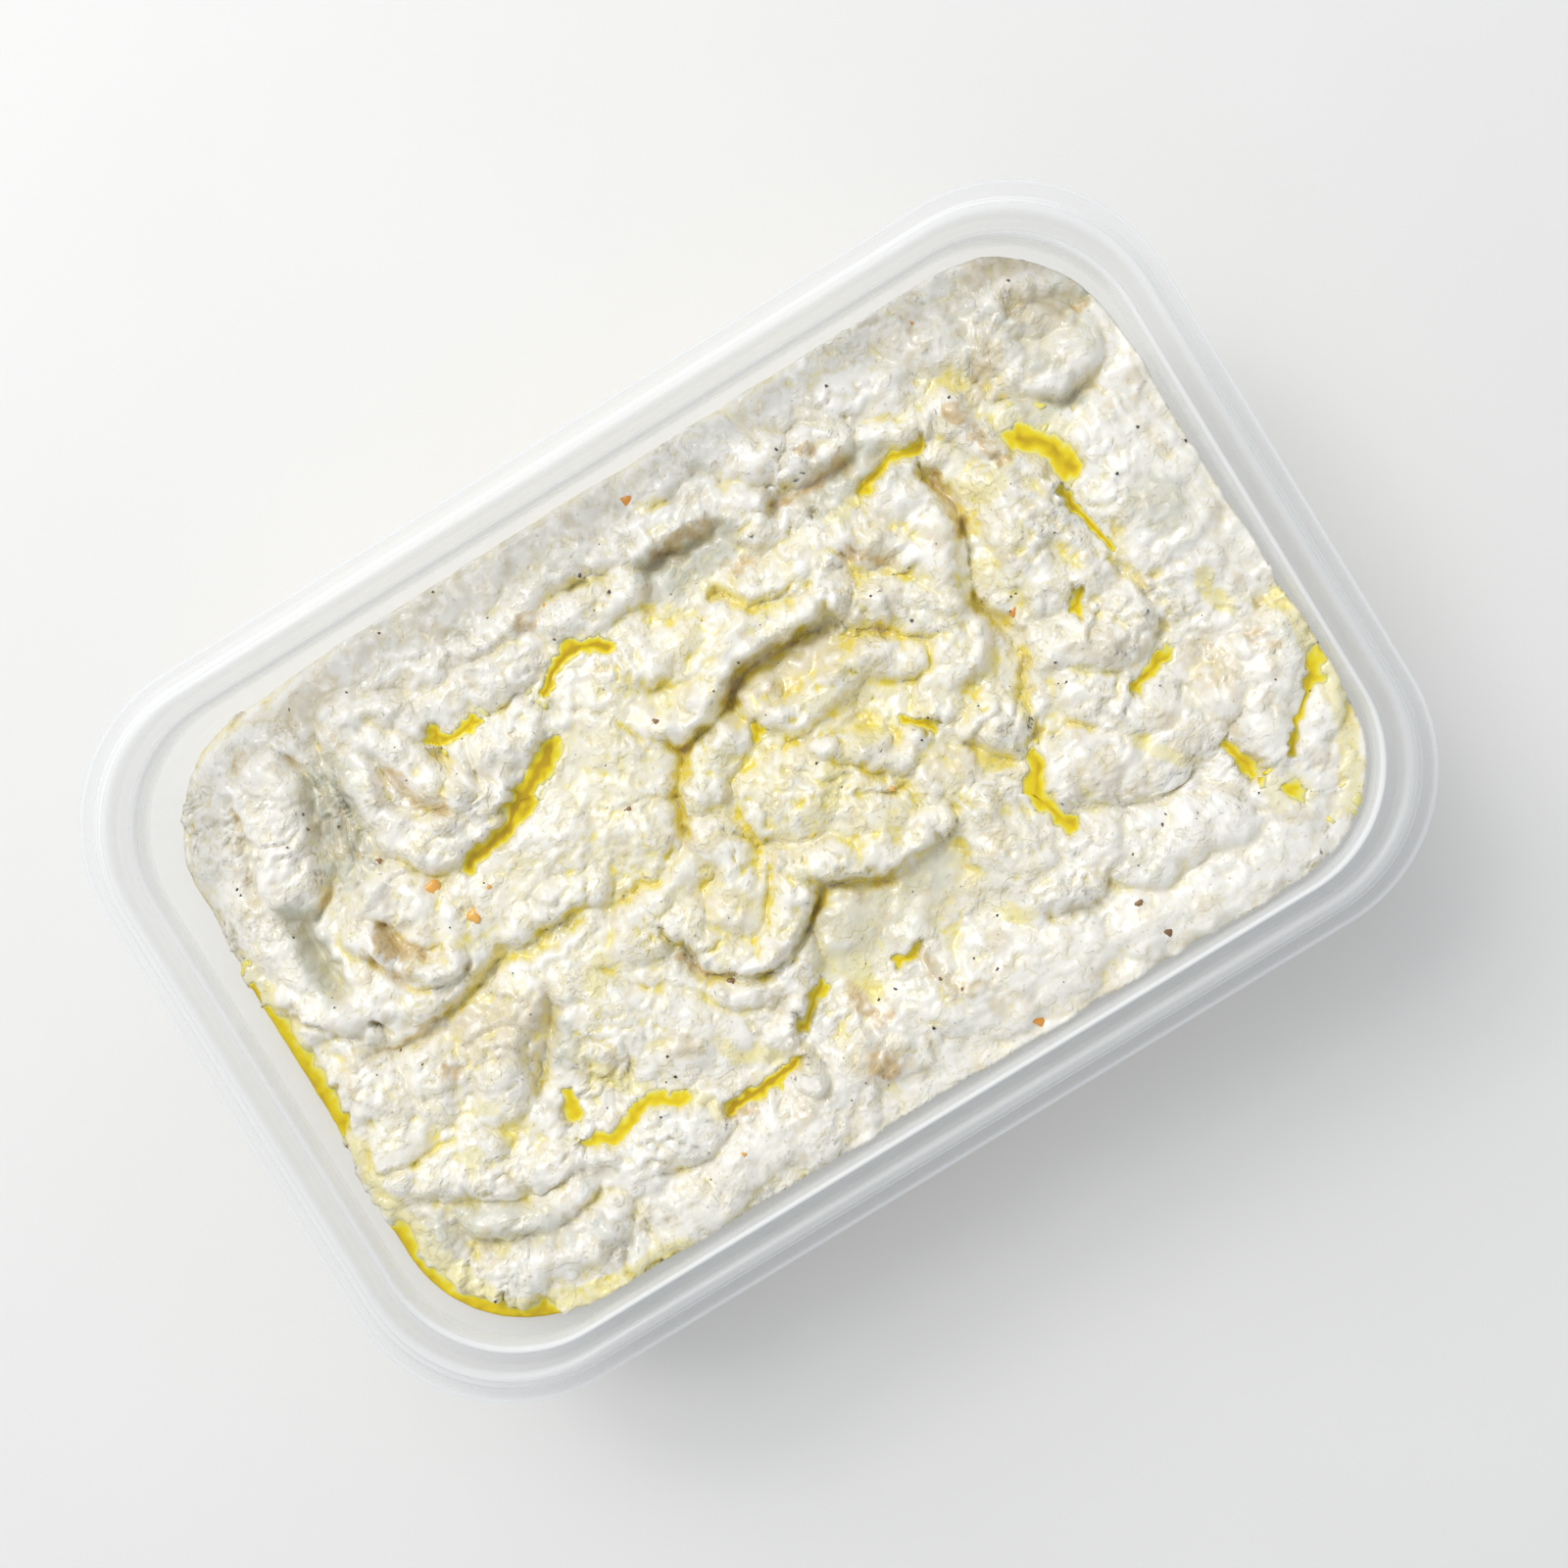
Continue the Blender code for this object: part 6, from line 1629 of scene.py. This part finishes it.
def skin_material(name, pale, dark, rough):
    """A moist shred, with its own shade and a finer mottle."""
    paint = Paint(name)
    mottled = paint.field("shade") * 0.6 + paint.noise(0.5 * MM, 2) * 0.4
    colour = paint.mix(paint.between(mottled, 0.15, 0.85), dark, pale)
    normal = paint.bump(paint.noise(0.3 * MM, 2), 0.06 * MM, 0.6)
    return paint.finish(
        Base_Color=colour, Roughness=rough, Coat_Weight=0.4, Coat_Roughness=0.15, Normal=normal,
    )


# %% Flakes and seeds: x, y, radius (mm)
ORANGE_FLAKES = (
    (-47.2, 12.8, 1.5), (-44.0, 6.6, 1.2), (-40.0, 9.0, 0.5), (-12.0, 39.2, 0.45), (44.8, 3.2, 0.75),
    (5.9, 45.8, 0.8), (17.6, -48.4, 1.2), (-28.7, -42.8, 0.45), (53.8, 46.0, 0.35), (16.8, -9.2, 0.4),
)
BROWN_FLAKES = (
    (-17.0, 8.0, 0.6), (-7.0, 16.6, 0.55), (38.3, -41.6, 0.65), (39.8, -47.3, 0.7), (-17.4, -20.8, 0.6),
    (8.4, -36.0, 0.35), (10.4, -38.8, 0.3), (-52.0, 20.5, 0.5),
)
orange = np.array(ORANGE_FLAKES)
brown = np.array(BROWN_FLAKES)
pepper_look = skin_material("dried pepper", pale=(0.86, 0.47, 0.10), dark=(0.78, 0.30, 0.03), rough=0.4)
lumps("pepper_flakes", orange[:, 0], orange[:, 1], orange[:, 2], flat=0.35, sink=0.05,
      material=pepper_look, seed=131, rings=7, spokes=14)
browned_look = skin_material("browned skin", pale=(0.36, 0.20, 0.07), dark=(0.20, 0.10, 0.04), rough=0.4)
lumps("skin_flakes", brown[:, 0], brown[:, 1], brown[:, 2], flat=0.4, sink=0.05,
      material=browned_look, seed=132, rings=7, spokes=14)

# %% Specks
SPECKS = (
    (-13.3, 34.3), (-11, 24.5), (-3, 36), (-5.4, 40.2), (-24.8, 49.4), (-51.5, 46), (-42.9, 43.5),
    (-34.5, 48.4), (-57.8, 32), (-58.3, 29.8), (-72, 27.8), (-72, 26.8), (-54.3, 27.8), (-41.8, 28.3),
    (-33.5, 13), (-68.5, 17.5), (38.8, 44.6), (28, 40.6), (52.7, 34), (68.6, 43.7), (31.7, 9.8),
    (67.4, 12.3), (78.5, 11.2), (73.5, 16.4), (28.5, 15.8), (-61.7, -7.7), (-30.8, -25.2),
    (-31.5, -28.4), (-64.1, -4.7), (9.5, -0.5), (10.8, -5.3), (2.2, -34), (-0.6, -34.2), (20.2, -32.7),
    (14.1, -36.1), (16.2, -39), (4, -41.5), (47, -33.7), (41.2, -35.2), (51.9, -34.8), (46, -6),
    (46, -9.2),
)
MORE_SPECKS = 170
draw = np.random.default_rng(141)
named = np.array(SPECKS)
scattered = draw.uniform((-74, -46), (76, 46), (MORE_SPECKS, 2))
places = np.concatenate([named, scattered])
named_sizes = draw.uniform(0.2, 0.34, len(named))
sizes = np.concatenate([named_sizes, 0.07 + 0.16 * draw.uniform(0, 1, MORE_SPECKS) ** 2])
scorched_look = skin_material(
    "scorched skin", pale=(0.11, 0.085, 0.065), dark=(0.025, 0.02, 0.02), rough=0.45,
)
lumps("scorched_specks", places[:, 0], places[:, 1], sizes, flat=0.6, sink=0.1,
      material=scorched_look, seed=142)

# %% [markdown]
# ## Floor and light
#
# The photograph is bright and soft: daylight from a large window beyond the tub, to the north of it, and
# a pale room all round. A large area light stands for the window, with a small bright one in it that
# draws the wet highlights, and the world gives the rest.

# %% Floor
def floor_material():
    """A matt table, very slightly uneven in tone."""
    paint = Paint("pale floor")
    tone = paint.noise(60 * MM, 3)
    colour = paint.mix(tone, (0.83, 0.825, 0.815), (0.87, 0.865, 0.855))
    return paint.finish(Base_Color=colour, Roughness=0.6)


FLOOR_SIZE = 3.0
corners = np.array([[-1, -1, 0], [1, -1, 0], [1, 1, 0], [-1, 1, 0]]) * FLOOR_SIZE / 2
floor_piece = make_mesh("floor", corners, np.array([[0, 1, 2, 3]]), smooth=False, material=floor_material())


# %% Lights
def area_light(name, direction, distance, size, power, colour):
    """A square light at a distance in a direction, facing the tub."""
    data = bpy.data.lights.new(name, "AREA")
    data.size = size
    data.energy = power
    data.color = colour
    light = bpy.data.objects.new(name, data)
    away = mathutils.Vector(direction).normalized()
    light.location = away * distance
    light.rotation_euler = away.to_track_quat("Z", "Y").to_euler()
    bpy.context.scene.collection.objects.link(light)


WINDOW_POWER, PANE_POWER, ROOM_STRENGTH = 6.8, 1.9, 0.6
area_light("window", (-0.25, 0.95, 1.15), 1.2, 0.8, WINDOW_POWER, (1.0, 0.985, 0.96))
area_light("bright pane", (-0.4, 0.9, 1.25), 1.2, 0.2, PANE_POWER, (1.0, 0.99, 0.97))
world = bpy.data.worlds.new("world")
world.use_nodes = True
background = world.node_tree.nodes["Background"]
background.inputs["Color"].default_value = (0.94, 0.965, 1.0, 1)
background.inputs["Strength"].default_value = ROOM_STRENGTH
bpy.context.scene.world = world
bpy.context.scene.view_settings.view_transform = "Standard"
bpy.context.scene.view_settings.look = "None"
print("lights ready")
